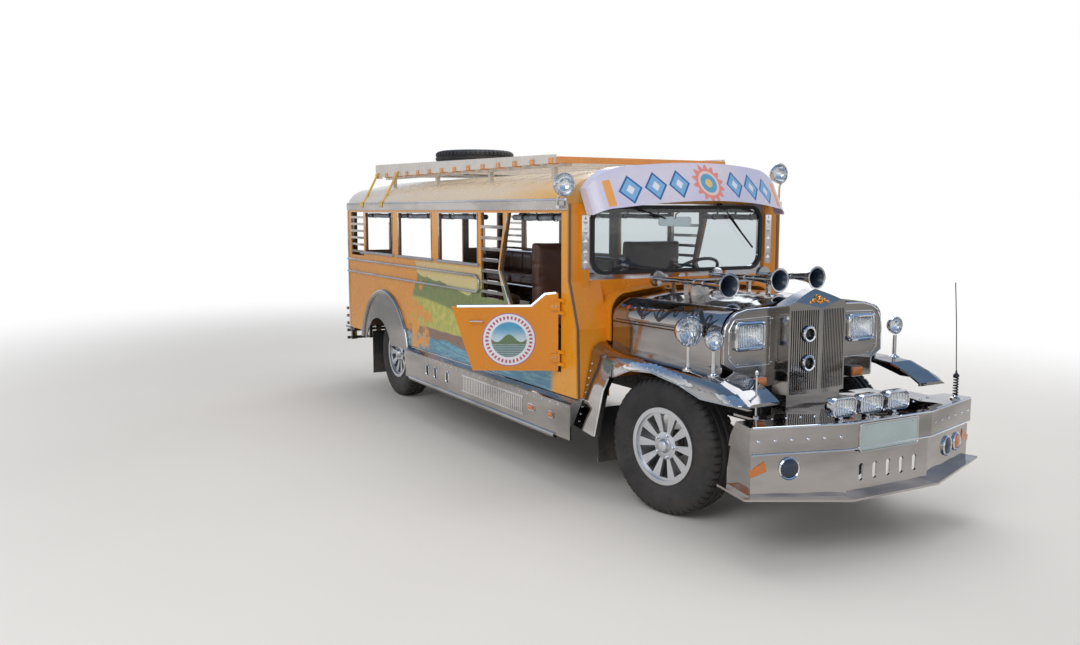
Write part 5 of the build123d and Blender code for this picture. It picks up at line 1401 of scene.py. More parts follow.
def fog_lamps(case, cup, lens):
    """Three lamps in soft-cornered cases on the bumper's deck."""
    rear, front = FOG_X
    low, top = FOG_Z
    w, h = 2 * FOG_HALF, top - low
    stem = (rear + front) / 2
    for y in FOG_ROWS:
        middle = (y, (low + top) / 2)
        outside = rings_at(rear, middle,
                           [(0, w * 0.5, h * 0.5, 0.014), (0.01, w * 0.82, h * 0.82, 0.03),
                            (0.03, w * 0.97, h * 0.97, 0.034)])
        rim = rings_at(front, middle,
                       [(-0.016, w, h, 0.034), (-0.002, w - 0.004, h - 0.004, 0.033),
                        (0, w - 0.016, h - 0.016, 0.028), (-0.006, w - 0.022, h - 0.022, 0.025)])
        inside = rings_at(rear, middle,
                          [(0.034, w * 0.88, h * 0.86, 0.03), (0.014, w * 0.72, h * 0.7, 0.024),
                           (0.004, w * 0.44, h * 0.44, 0.012)])
        case.skin(outside + rim + inside, closed=True)
        cup.skin(rings_at(front, middle,
                          [(-0.01, w - 0.024, h - 0.024, 0.025), (-0.036, w * 0.7, h * 0.68, 0.024),
                           (-0.054, w * 0.34, h * 0.4, 0.016), (-0.058, 0.03, 0.03, 0.01),
                           (-0.061, 0.03, 0.03, 0.01), (-0.057, w * 0.36, h * 0.42, 0.016),
                           (-0.039, w * 0.72, h * 0.7, 0.024), (-0.01, w - 0.022, h - 0.022, 0.025)]),
                 closed=True)
        cup.lathe((front - 0.06, *middle), (1, 0, 0),
                  [(0.0, 0.016), (0.014, 0.01), (0.026, 0.013), (0.036, 0.001)], 12)
        lens.skin(rings_at(front, middle,
                           [(-0.011, w - 0.023, h - 0.023, 0.025), (-0.004, w - 0.023, h - 0.023, 0.025),
                            (0.001, w - 0.06, h - 0.046, 0.018)]))
        case.block((stem - 0.015, y - 0.015, BUMPER_TOP_Z), (stem + 0.015, y + 0.015, low + 0.004))
        case.dome((stem + 0.03, y, BUMPER_TOP_Z), (0, 0, 1), 0.011, 0.007)


def wing_lamps(case, cup, lens):
    """Bowl lamps on stalks that stand on both wings, the large ones barred."""
    for side in (-1, 1):
        for x, y, z, radius in WING_LAMPS:
            middle = Vector((x, side * y, z))
            bowl(case, cup, lens, middle, radius)
            foot = wing_skin(x, height_on(WING_TOP, x) - 0.001)[0].z
            case.lathe((x, side * y, foot - 0.012), (0, 0, 1),
                       [(0.0, 0.034), (0.014, 0.034), (0.02, 0.02), (0.028, 0.012),
                        (z - foot - radius * 0.9, 0.012)], 16)
            if radius > 0.07:
                for shift in (-0.03, 0.0, 0.03):
                    reach = math.sqrt((radius * 1.01) ** 2 - shift ** 2)
                    path = [middle + Vector((0.022 + 0.024 * math.cos(turn), shift, math.sin(turn) * reach))
                            for turn in [math.radians(-90 + 15 * step) for step in range(13)]]
                    case.tube(path, 0.003, 6)


def roof_lamps(case, cup, lens):
    """Bowls on bent arms beside the roof's front corners."""
    arm_x = -0.838
    for side, x, y, z in ROOF_BOWLS:
        bowl(case, cup, lens, Vector((x, side * y, z)), 0.073)
        case.block((arm_x - 0.012, side * 0.945, 1.875), (arm_x + 0.012, side * (y + 0.006), 1.895))
        bends = [(arm_x, 1.88), (arm_x, z - 0.12), (arm_x + 0.006, z - 0.085), (arm_x + 0.03, z - 0.07),
                 (x - 0.014, z - 0.066)]
        case.tube([(ahead, side * y, up) for ahead, up in bends], 0.008, 10)


class JEEPNEY_OT_lamps(bpy.types.Operator):
    """Headlamps, fog lamps, wing and roof bowls, amber and tail lamps"""

    bl_idname = "jeepney.lamps"
    bl_label = "Lamps"

    def execute(self, context):
        case, cup, lens, amber, red, box = Form(), Form(), Form(), Form(), Form(), Form()
        headlamps(case, cup, lens)
        amber_lamps(case, amber, box)
        tail_lamps(case, red, amber)
        for form in (case, cup, lens, amber, red, box):
            form.mirror()
        fog_lamps(case, cup, lens)
        wing_lamps(case, cup, lens)
        roof_lamps(case, cup, lens)
        shells = case.piece("lamp_cases", "polished_tube")
        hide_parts("lamps")
        cup.piece("lamp_reflectors", "lamp_reflector")
        lens.piece("lamp_lenses", "lens_glass")
        amber.piece("amber_lenses", "amber_lens")
        red.piece("red_lenses", "red_lens")
        box.piece("amber_lamp_boxes", "black_paint", "body", "trim_plastic", 0.003)
        return {"FINISHED"}


# Nose

def grille_trim():
    """The gilt finial on the cap, rings and discs in the two ports, and the dark screen behind."""
    gilt = Form()
    gilt.lathe((0.56, 0.0, 1.34), (0.9, 0, 0.44),
               [(-0.02, 0.03), (0.006, 0.03), (0.01, 0.024), (0.011, 0.016), (0.02, 0.014), (0.026, 0.007),
                (0.027, 0.001)], 24)
    for side in (-1, 1):
        for reach, drop, size in ((0.046, 0.004, 0.013), (0.07, 0.014, 0.01), (0.09, 0.026, 0.007)):
            gilt.dome((0.566, side * reach, 1.336 - drop), (1, 0, 0.2), size, 0.01, 12)
    gilt.piece("grille_finial", "gilt")
    rings, dark = Form(), Form()
    for z in PORT_HEIGHTS:
        rings.lathe((0.584, -0.087, z), (1, 0, 0),
                    [(-0.002, 0.05), (0.004, 0.05), (0.008, 0.044), (0.006, 0.035), (-0.002, 0.034)], 32,
                    closed=True)
        dark.lathe((0.57, -0.087, z), (1, 0, 0),
                   [(-0.02, 0.0345), (-0.004, 0.0345), (0.002, 0.024), (0.005, 0.01), (0.006, 0.001)], 24)
    rings.piece("grille_port_rings", "polished_tube")
    dark.piece("grille_port_discs", "screen_black")
    mesh = Form()
    for index in range(27):
        y = -0.195 + 0.015 * index
        mesh.block((0.524, y - 0.001, 0.806), (0.5252, y + 0.001, 1.278))
    for index in range(32):
        z = 0.812 + 0.015 * index
        mesh.block((0.5228, -0.2, z - 0.001), (0.524, 0.2, z + 0.001))
    mesh.piece("grille_screen", "screen_black")


def hood_trim():
    """Painted flourishes on the hood's shoulders, a small siren box and its side lamps."""
    form = Form()
    for start, sign in ((-0.5, 1), (-0.2, -1), (0.1, 1)):
        shares = [step / 30 for step in range(31)]
        strokes = [[(start + 0.29 * share, 36 + sign * 23 * math.sin(share * 2 * math.pi) * (1 - share * 0.3))
                    for share in shares]]
        for middle, size, way in ((0.075, 0.036, sign), (0.215, 0.03, -sign)):
            strokes.append([(start + middle + math.cos(turn) * size * (1 - turn / 11),
                             36 + way * 6 + way * 24 * math.sin(turn) * (1 - turn / 11))
                            for turn in [step * 0.32 for step in range(24)]])
        for stroke, width in zip(strokes, (0.013, 0.006, 0.006)):
            count = len(stroke) - 1
            halves = [0.002 + width * math.sin(math.pi * index / count) for index in range(count + 1)]
            points = [hood_skin(x, math.radians(turn), 0.0002) for x, turn in stroke]
            normals = [shoulder_facing(math.radians(turn)) for _, turn in stroke]
            form.ribbon(points, normals, halves)
    for turn in (-0.5, 74.0):
        angle = math.radians(turn)
        line = [hood_skin(-0.56 + 0.97 * step / 24, angle, 0.0002) for step in range(25)]
        form.ribbon(line, [shoulder_facing(angle)] * 25, [0.003] * 25)
    form.mirror()
    form.piece("hood_flourishes", "screen_black", "hood_lid")
    dot = Form()
    point = hood_skin(-0.46, math.radians(36))
    normal = point - hood_skin(-0.46, math.radians(36), -0.1)
    dot.dome(point, normal, 0.018, 0.008, 20)
    dot.dome(mirrored(point), mirrored(normal), 0.018, 0.008, 20)
    dot.piece("hood_side_lamps", "red_lens", "hood_lid")
    box = Form()
    box.section(SIREN_OUTLINE, -0.3, -0.18)
    box.lathe((-0.182, -0.28, 1.362), (1, 0, 0), [(0.0, 0.026), (0.006, 0.026), (0.01, 0.018), (0.004, 0.014)],
              24, closed=True)
    box.piece("siren_box", "cream_paint", "hood_lid", bevel=0.004)


def horn_trim():
    """Throats inside the trumpets, coloured blue-black as painted shade, and bands round them."""
    throat, band = Form(), Form()
    for y, z, bell in HORNS:
        throat.lathe((bell, y, z), (1, 0, 0),
                     [(-0.002, 0.0655), (-0.03, 0.0475), (-0.09, 0.0245), (-0.19, 0.008), (-0.19, 0.001),
                      (-0.187, 0.001), (-0.185, 0.006), (-0.089, 0.0225), (-0.0295, 0.0455), (-0.002, 0.064)],
                     28, closed=True)
        band.lathe((bell, y, z), (1, 0, 0),
                   [(-0.004, 0.075), (0.001, 0.079), (0.003, 0.076), (0.002, 0.07), (-0.003, 0.068)],
                   32, closed=True)
        for back in (-0.235, -0.33):
            band.lathe((bell + back, y, z), (1, 0, 0),
                       [(-0.008, 0.0185), (-0.005, 0.0225), (0.005, 0.0225), (0.008, 0.0185)], 20)
    # The throats belong to the chrome horns; their blue-black colour is painted shade.
    throat.piece("horn_throats", "painted_deep_shade", "hood_lid", "chrome")
    band.piece("horn_bands", "polished_tube", "hood_lid")


def lamp_panels():
    """Beaded edges and corner screws of the two lamp panels."""
    bead, screws = Form(), Form()
    x = LAMP_FACE_X
    edge = [(0.228, 1.298), (0.47, 1.29), (0.545, 1.272), (0.596, 1.244), (0.628, 1.195), (0.638, 1.13),
            (0.638, 0.988), (0.56, 0.944), (0.556, 0.836)]
    bead.tube([(x + 0.001, -y, z) for y, z in edge], 0.005, 8)
    frame_line = [(0.29, 1.245), (0.56, 1.238), (0.6, 1.18), (0.6, 1.01), (0.545, 0.96), (0.29, 0.96)]
    bead.tube([(x + 0.0005, -y, z) for y, z in frame_line], 0.003, 6, True)
    for y, z in frame_line:
        screws.dome((x, -y + 0.016, z + (0.014 if z < 1.1 else -0.014)), (1, 0, 0), 0.006, 0.004, 8)
    bead.mirror()
    screws.mirror()
    bead.piece("lamp_panel_beads", "polished_tube")
    screws.piece("lamp_panel_screws", "polished_tube")


class JEEPNEY_OT_nose(bpy.types.Operator):
    """Grille ornament and ports, hood flourishes, horn throats and the trim of the lamp panels"""

    bl_idname = "jeepney.nose"
    bl_label = "Nose trim"

    def execute(self, context):
        grille_trim()
        hood_trim()
        horn_trim()
        lamp_panels()
        return {"FINISHED"}


def bumper_lamps(bright):
    """Dark and amber lamps in the apron, with the slanted amber reflectors; the dark lamps' lenses are painted
    shade.
    """
    dark, amber = Form(), Form()
    for side, along, z, radius, kind in BUMPER_LAMPS:
        axis = bumper_facing(side)
        middle = bumper_skin(along, z, side, -APRON_INSET)
        bright.lathe(middle, axis,
                     [(-0.004, radius + 0.01), (0.01, radius + 0.01), (0.016, radius + 0.003),
                      (0.012, radius - 0.002), (-0.004, radius - 0.003)], 28, closed=True)
        target = amber if kind == "amber" else dark
        target.lathe(middle, axis,
                     [(-0.002, radius - 0.003), (0.01, radius - 0.003), (0.018, radius * 0.7),
                      (0.022, radius * 0.35), (0.023, 0.001)], 24)
    for side in (-1, 1):
        axis = bumper_facing(side)
        corners = [(0.47, 0.5), (0.56, 0.47), (0.572, 0.505), (0.482, 0.556)]
        edge = [bumper_skin(along, z, side, -APRON_INSET - 0.001) for along, z in corners]
        amber.prism(edge, axis * 0.009)
    # The dark lamps' lenses are coloured as painted shade.
    dark.piece("bumper_dark_lamps", "painted_deep_shade", "body", "lamp_glass")
    amber.piece("bumper_amber_lamps", "amber_lens", bevel=0.002)


def bumper_edges(bright):
    """Rolled beads along the band's two edges and a row of bolts on the lip."""
    for z in (0.736, 0.594):
        path = [bumper_skin(0.56, z, -1), bumper_skin(0.0, z, -1), bumper_skin(0.0, z, 1),
                bumper_skin(0.56, z, 1)]
        bright.tube(path, 0.006, 8)
    for side in (-1, 1):
        for index in range(6):
            spot = bumper_skin(0.05 + 0.095 * index, 0.665, side)
            axis = bumper_facing(side)
            bright.dome(spot, axis, 0.01, 0.006)
        for index in range(7):
            bright.dome((0.86 + 0.02 * index, side * (0.62 - 0.085 * index), BUMPER_TOP_Z), (0, 0, 1), 0.009,
                        0.005)


def bumper_rods(bright):
    """The guide rod on the right and the whip antenna with its spring on the left."""
    bright.lathe((0.79, -0.672, BUMPER_TOP_Z - 0.002), (0, 0, 1),
                 [(0.0, 0.016), (0.01, 0.016), (0.014, 0.006), (0.235, 0.005), (0.24, 0.01), (0.256, 0.01),
                  (0.262, 0.002)], 14)
    base = Vector((0.965, 0.735, BUMPER_TOP_Z))
    bright.lathe(base - Vector((0, 0, 0.002)), (0, 0, 1),
                 [(0.0, 0.03), (0.01, 0.03), (0.016, 0.018), (0.026, 0.014)], 20)
    dark = Form()
    coil = []
    for step in range(12 * 7 + 1):
        turn = 2 * math.pi * step / 12
        coil.append(base + Vector((math.cos(turn) * 0.013, math.sin(turn) * 0.013, 0.022 + 0.115 * step / 84)))
    dark.tube(coil, 0.0045, 6)
    dark.lathe(base + Vector((0, 0, 0.134)), (0, 0, 1),
               [(0.0, 0.018), (0.012, 0.018), (0.022, 0.007), (0.04, 0.004)], 14)
    dark.tube([base + Vector((0, 0, 0.16)), base + Vector((0, -0.02, 0.45)), base + Vector((0, -0.046, 0.7))],
              0.0028, 6)
    dark.piece("antenna", "screen_black")


class JEEPNEY_OT_bumper(bpy.types.Operator):
    """Blank plate, round lamps, reflectors, antenna, guide rod and bolts of the front bumper"""

    bl_idname = "jeepney.bumper"
    bl_label = "Bumper trim"

    def execute(self, context):
        plate, bright = Form(), Form()
        x = BUMPER_NOSE_X
        middle = (-0.02, 0.648)
        plate.skin(rings_at(x, middle, [(0.0015, 0.44, 0.14, 0.012), (0.0035, 0.44, 0.14, 0.012)]))
        plate.piece("front_plate_blank", "plate_white")
        bright.skin(rings_at(x, middle,
                             [(0.0002, 0.462, 0.162, 0.018), (0.007, 0.458, 0.158, 0.017),
                              (0.006, 0.444, 0.144, 0.013), (0.0002, 0.44, 0.14, 0.012)]), closed=True)
        for y in (-0.2, 0.16):
            bright.dome((x + 0.003, y, 0.7), (1, 0, 0), 0.007, 0.004)
        bumper_lamps(bright)
        bumper_edges(bright)
        bumper_rods(bright)
        bright.piece("bumper_trim", "polished_tube")
        return {"FINISHED"}


class JEEPNEY_OT_wings(bpy.types.Operator):
    """Bolted, scalloped strips along the wing openings with their rolled beads"""

    bl_idname = "jeepney.wings"
    bl_label = "Wing trim"

    def execute(self, context):
        strip, bolts = Form(), Form()
        start, reach, count = -0.392, 1.212, 88
        rings = []
        for step in range(count + 1):
            x = start + reach * step / count
            low = height_on(WING_LIP, x)
            top = height_on(WING_TOP, x)
            room = min(1.0, max(0.12, (top - low - 0.006) / 0.062))
            wave = 0.007 * abs(math.sin(step * math.pi / 4))
            rows = [low + 0.003, low + 0.016 * room, low + 0.03 * room, low + (0.046 + wave) * room]
            outer = [wing_skin(x, z, 0.0028)[0] for z in rows]
            inner = [wing_skin(x, z, -0.002)[0] for z in reversed(rows)]
            rings.append(outer + inner)
            if step % 4 == 2 and room > 0.7:
                spot, normal = wing_skin(x, low + 0.024 * room, 0.002)
                bolts.dome(spot, normal, 0.0065, 0.0045, 8)
        strip.skin(rings, True, False)
        places = [start + reach * step / 60 for step in range(61)]
        path = [wing_skin(x, height_on(WING_LIP, x) + 0.003)[0] for x in places]
        strip.tube(path, 0.006, 8)
        rear_edge = [Vector((-0.437, -0.9305, 0.415)), Vector((-0.437, -0.868, 0.7)),
                     Vector((-0.402, -0.849, 0.791))]
        strip.tube(rear_edge, 0.007, 8)
        for index in range(9):
            share = (index + 0.5) / 9
            spot = Vector((-0.655 - 0.02 * share, -0.826 - 0.102 * share, 0.88 - 0.43 * share))
            bolts.dome(spot + Vector((0.03, 0, 0)), (0, -0.97, 0.22), 0.0065, 0.0045, 8)
        strip.mirror()
        bolts.mirror()
        strip.piece("wing_strips", "polished_tube")
        bolts.piece("wing_bolts", "polished_tube")
        return {"FINISHED"}


# Sides, doors and windshield

def running_board(bright, rivets, amber):
    """Slot rims, a fluted strip, bolts and marker lamps on the step panel."""
    face = -(HALF_WIDTH + 0.052)
    for spot in spaced((-3.56, face, 0.566), (-0.7, face, 0.566), 0.11):
        rivets.dome(spot, (0, -1, 0), 0.008, 0.005, 8)
    for x in SLOTS:
        rim = [Vector((point.y, face - 0.001, point.z))
               for point in ring_at(0.0, (x, 0.47), 0.058, 0.102, 0.0288, 8)]
        bright.tube(rim, 0.005, 8, True)
    for index in range(34):
        x = -2.32 + 0.03 * index
        bright.block((x - 0.008, face - 0.004, 0.42), (x + 0.008, face + 0.001, 0.52))
    for z in (0.408, 0.532):
        bright.block((-2.35, face - 0.005, z - 0.006), (-1.3, face + 0.001, z + 0.006))
    for x, wide in ((-1.18, 0.07), (-0.9, 0.045)):
        outline = [Vector((x + point.y, face, 0.48 + point.z))
                   for point in ring_at(0.0, (0.0, 0.0), wide + 0.018, 0.052, 0.012)]
        bright.skin([outline, [point - Vector((0, 0.008, 0)) for point in outline]], smooth=False)
        inner = [Vector((x + point.y, face - 0.007, 0.48 + point.z))
                 for point in ring_at(0.0, (0.0, 0.0), wide, 0.034, 0.01)]
        top = [Vector((x + (point.x - x) * 0.7, face - 0.019, 0.48 + (point.z - 0.48) * 0.6))
               for point in inner]
        amber.skin([inner, [point - Vector((0, 0.006, 0)) for point in inner], top])
    for index in range(3):
        y = -(HALF_WIDTH - 0.02 + 0.009 * index)
        bright.block((-3.58, y - 0.002, 0.6115), (-1.7, y + 0.002, 0.6145))


def cab_corner(bright, rivets):
    """The pierced ornament plate on the windshield post and the joint under the valance."""
    x = -0.766
    y = -0.802
    bright.skin(rings_at(x, (y, 1.65), [(-0.0005, 0.056, 0.36, 0.008), (0.0025, 0.056, 0.36, 0.008)]),
                smooth=False)
    for index in range(5):
        z = 1.51 + 0.07 * index
        diamond = [(x + 0.002, y, z + 0.03), (x + 0.002, y + 0.022, z), (x + 0.002, y, z - 0.03),
                   (x + 0.002, y - 0.022, z)]
        tip = (x + 0.01, y, z)
        bright.add([*diamond, tip], [(0, 1, 4), (1, 2, 4), (2, 3, 4), (3, 0, 4), (3, 2, 1, 0)], False)
    for z in (1.48, 1.82):
        rivets.dome((x + 0.002, y, z), (1, 0, 0), 0.006, 0.004, 8)


class JEEPNEY_OT_side_trim(bpy.types.Operator):
    """Rivets, sill tubes, doorway beads, running board strips and post ornaments of both sides"""

    bl_idname = "jeepney.side_trim"
    bl_label = "Side trim"

    def execute(self, context):
        bright, rivets, grey, amber = Form(), Form(), Form(), Form()
        face = -HALF_WIDTH
        pitch = sizes().rivet_pitch
        radius = sizes().rivet_radius
        for z in (1.872, 1.92):
            for spot in spaced((REAR_X + 0.03, face - 0.014, z), (-0.81, face - 0.014, z), pitch):
                rivets.dome(spot, (0, -1, 0), radius * 0.8, radius * 0.5, 8)
        arch = [Vector((-WHEELBASE + ARCH_SHIFT + math.cos(turn) * ARCH_RADIUS, face - 0.008,
                        0.44 + math.sin(turn) * ARCH_RADIUS))
                for turn in [math.radians(12 + 156 * step / 40) for step in range(41)]]
        bright.tube(arch, 0.011, 8)
        for rear, front in WINDOWS:
            grey.tube([(rear - 0.03, face - 0.008, 1.436), (front + 0.03, face - 0.008, 1.436)], 0.013, 10)
            bright.tube([(rear + 0.004, face - 0.002, 1.445), (rear + 0.004, face - 0.002, 1.842),
                         (front - 0.004, face - 0.002, 1.842), (front - 0.004, face - 0.002, 1.445)], 0.005, 6,
                        True)
        doorway = [(-1.612, face - 0.003, 0.8), (-1.607, face - 0.003, 1.165), (-1.769, face - 0.003, 1.416),
                   (-1.668, face - 0.003, 1.739), (-1.64, face - 0.003, 1.842)]
        bright.tube(doorway, 0.006, 8)
        bright.tube([(REAR_X, face - 0.004, 1.934), (-0.8, face - 0.004, 1.934)], 0.009, 8)
        bright.tube([(REAR_X + 0.006, face - 0.004, 0.63), (REAR_X + 0.006, face - 0.004, 1.86)], 0.008, 8)
        running_board(bright, rivets, amber)
        cab_corner(bright, rivets)
        for form in (bright, rivets, grey, amber):
            form.mirror()
        bright.piece("side_beads", "polished_tube")
        rivets.piece("side_rivets", "polished_tube")
        grey.piece("sill_tubes", "grey_vinyl")
        amber.piece("side_marker_lenses", "amber_lens")
        return {"FINISHED"}


def door_roundel(hinge, side, body):
    """The painted roundel on the door's outer face, in its own frame."""
    form = Form()
    form.lathe((0, 0, 0), (0, 0, 1),
               [(-0.0006, ROUNDEL_RADIUS), (0.0008, ROUNDEL_RADIUS), (0.0012, ROUNDEL_RADIUS - 0.002),
                (0.0012, 0.001)], 56)
    turn = Matrix.Rotation(math.pi / 2, 4, "X")
    if side > 0:
        turn = Matrix.Rotation(math.pi, 4, "Z") @ turn
    place = Matrix.Translation((-0.34, side * -0.014, 0.992))
    form.piece(body + "_roundel", "roundel_paint", body, matrix=hinge @ place @ turn)


def door_trim(place, body):
    """Edge beads, handle and hinge screws, in the right door's frame."""
    form = Form()
    outer = 0.0135
    edge = [(-0.02, 1.306), (-0.094, 1.298), (-0.188, 1.217), (-0.69, 1.213)]
    form.tube([(x, outer + 0.0145, z) for x, z in edge], 0.0155, 8)
    form.tube([(-0.6, outer, 1.12), (-0.6, -0.012, 1.12), (-0.52, -0.012, 1.12), (-0.52, outer, 1.12)], 0.006,
              8)
    for z in (0.87, 1.22):
        for x in (-0.02, -0.045):
            form.dome((x, 0.002, z), (0, -1, 0), 0.006, 0.004, 8)
    form.piece(body + "_trim", "polished_tube", body, matrix=place)


class JEEPNEY_OT_doors(bpy.types.Operator):
    """Roundels, bright step edges, handles and hinge screws of the two half doors"""

    bl_idname = "jeepney.doors"
    bl_label = "Doors"

    def execute(self, context):
        for side, hand, angle in ((-1, "right", DOOR_OPEN), (1, "left", 0.0)):
            hinge = Matrix.Translation((DOOR_HINGE[0], side * DOOR_HINGE[1], 0))
            hinge = hinge @ Matrix.Rotation(-side * angle, 4, "Z")
            flip = Matrix.Identity(4) if side < 0 else Matrix.Scale(-1, 4, (0, 1, 0))
            body = f"{hand}_door"
            door_roundel(hinge, side, body)
            door_trim(hinge @ flip, body)
        return {"FINISHED"}


class JEEPNEY_OT_screen(bpy.types.Operator):
    """Wipers and the inside mirror"""

    bl_idname = "jeepney.screen"
    bl_label = "Windshield trim"

    def execute(self, context):
        form, blade = Form(), Form()
        x = -0.768
        for pivot, tip in ((Vector((x, 0.35, 1.9)), Vector((x + 0.012, 0.54, 1.7))),
                           (Vector((x, -0.48, 1.905)), Vector((x + 0.012, -0.3, 1.85)))):
            form.lathe(pivot - Vector((0.016, 0, 0)), (1, 0, 0),
                       [(-0.01, 0.016), (0.014, 0.016), (0.02, 0.01), (0.022, 0.001)], 16)
            form.tube([pivot, pivot.lerp(tip, 0.5) + Vector((0.012, 0, 0)), tip], 0.0045, 8)
            across = (tip - pivot).normalized()
            blade.tube([tip - across * 0.17 + Vector((-0.004, 0, 0)),
                        tip + across * 0.15 + Vector((-0.004, 0, 0))], 0.0065, 6)
            for share in (-0.1, 0.0, 0.09):
                form.tube([tip + Vector((0.002, 0, 0)), tip + across * share + Vector((-0.002, 0, 0))], 0.003,
                          6)
        form.piece("wiper_arms", "screen_black")
        blade.piece("wiper_blades", "gasket_rubber")
        mirror = Form()
        mirror.tube([(-0.806, 0.0, 1.85), (-0.84, 0.0, 1.835), (-0.852, 0.0, 1.8)], 0.006, 8)
        mirror.skin(rings_at(-0.858, (0.0, 1.785), [(0, 0.28, 0.06, 0.02), (0.012, 0.286, 0.066, 0.022)]))
        mirror.piece("inside_mirror", "lamp_reflector")
        return {"FINISHED"}


# Cabin, roof, rear and underbody

class JEEPNEY_OT_cabin(bpy.types.Operator):
    """Gauges, pedals, levers, hand rails, ceiling lamps and floor ribs"""

    bl_idname = "jeepney.cabin"
    bl_label = "Cabin fittings"

    def execute(self, context):
        bright, dark, dial, lamp, ribs = Form(), Form(), Form(), Form(), Form()
        facing = Vector((-0.878, 0, 0.479))
        for y in (0.24, 0.34, 0.44, 0.54):
            middle = Vector((-0.9955, y, 1.3475))
            bright.lathe(middle, facing,
                         [(-0.002, 0.03), (0.007, 0.03), (0.009, 0.027), (0.006, 0.0255), (-0.002, 0.0255)], 24,
                         closed=True)
            dial.lathe(middle, facing, [(-0.001, 0.0255), (0.003, 0.0255), (0.0032, 0.001)], 24)
            up = Vector((0.479, 0, 0.878))
            for index in range(9):
                turn = math.radians(-120 + 30 * index)
                way = Vector((0, math.sin(turn), 0)) + up * math.cos(turn)
                bright.tube([middle + facing * 0.0035 + way * 0.019, middle + facing * 0.0035 + way * 0.024],
                            0.0006, 4)
            bright.tube([middle + facing * 0.0045 - up * 0.004, middle + facing * 0.0045 + up * 0.018], 0.0009,
                        4)
        for y in (-0.25, 0.25):
            bright.tube([(-5.1, y, 2.03), (-1.2, y, 2.03)], 0.014, 10)
            for x in (-4.95, -4.05, -3.15, -2.25, -1.35):
                bright.tube([(x, y, 2.03), (x, y, 2.145)], 0.008, 8)
                bright.lathe((x, y, 2.13), (0, 0, 1), [(0.0, 0.024), (0.014, 0.024)], 14)
        for x in (-4.4, -2.8, -1.5):
            lamp.lathe((x, 0.0, 2.15), (0, 0, -1),
                       [(0.0, 0.07), (0.014, 0.07), (0.03, 0.05), (0.038, 0.022), (0.04, 0.001)], 24)
        dark.tube([(-1.12, 0.06, 0.744), (-1.13, 0.062, 0.9), (-1.19, 0.075, 1.14)], 0.008, 8)
        dark.lathe((-1.19, 0.075, 1.12), (0, 0, 1),
                   [(0.0, 0.012), (0.014, 0.024), (0.034, 0.026), (0.048, 0.014), (0.05, 0.001)], 16)
        dark.lathe((-1.12, 0.06, 0.744), (0, 0, 1), [(0.0, 0.07), (0.012, 0.062), (0.04, 0.03), (0.06, 0.012)],
                   20)
        dark.tube([(-1.2, -0.07, 0.744), (-1.26, -0.07, 0.98), (-1.3, -0.07, 1.06)], 0.01, 8)
        for y in (0.3, 0.4, 0.5):
            dark.tube([(-0.795, y, 1.12), (-0.86, y, 1.0), (-0.905, y, 0.905)], 0.008, 8)
            dark.block((-0.93, y - 0.028, 0.88), (-0.906, y + 0.028, 0.94))
        for index in range(17):
            y = -0.4 + 0.05 * index
            ribs.block((-5.28, y - 0.006, 0.7445), (-1.75, y + 0.006, 0.7495))
        bright.piece("cabin_rails", "polished_tube")
        dark.piece("levers_and_pedals", "screen_black", bevel=0.002)
        dial.piece("gauge_faces", "plate_white", "body", "trim_plastic")
        lamp.piece("ceiling_lamps", "lens_white")
        ribs.piece("floor_ribs", "plate_steel", "body", "floor_plate", 0.001)
        return {"FINISHED"}


class JEEPNEY_OT_roof_load(bpy.types.Operator):
    """Slat clips, front beam, struts and bolts of the roof rack"""

    bl_idname = "jeepney.roof_load"
    bl_label = "Roof rack fittings"

    def execute(self, context):
        orange, yellow, bolts = Form(), Form(), Form()
        rear, front = RACK_ENDS
        for index in range(14):
            x = rear + 0.04 + (front - rear - 0.08) * index / 13
            orange.block((x - 0.03, -0.7785, 2.188), (x + 0.03, -0.7695, 2.232))
            orange.block((x - 0.03, -0.7785, 2.186), (x + 0.03, -0.72, 2.1945))
            bolts.dome((x, -0.778, 2.212), (0, -1, 0), 0.007, 0.004, 8)
        for x in (rear + 0.06, rear + 0.62):
            yellow.tube([(x, -0.928, 1.93), (x + 0.02, -0.86, 2.07), (x + 0.03, -0.776, 2.24)], 0.011, 10)
            yellow.block((x - 0.04, -0.952, 1.89), (x + 0.04, -0.944, 1.952))
            yellow.block((x - 0.012, -0.948, 1.93), (x + 0.012, -0.922, 1.946))
        orange.mirror()
        yellow.mirror()
        bolts.mirror()
        orange.block((front - 0.002, -0.75, 2.196), (front + 0.034, 0.75, 2.24))
        orange.piece("rack_clips", "slat_orange", bevel=0.002)
        yellow.piece("rack_struts", "guard_yellow", bevel=0.002)
        bolts.piece("rack_bolts", "polished_tube")
        return {"FINISHED"}


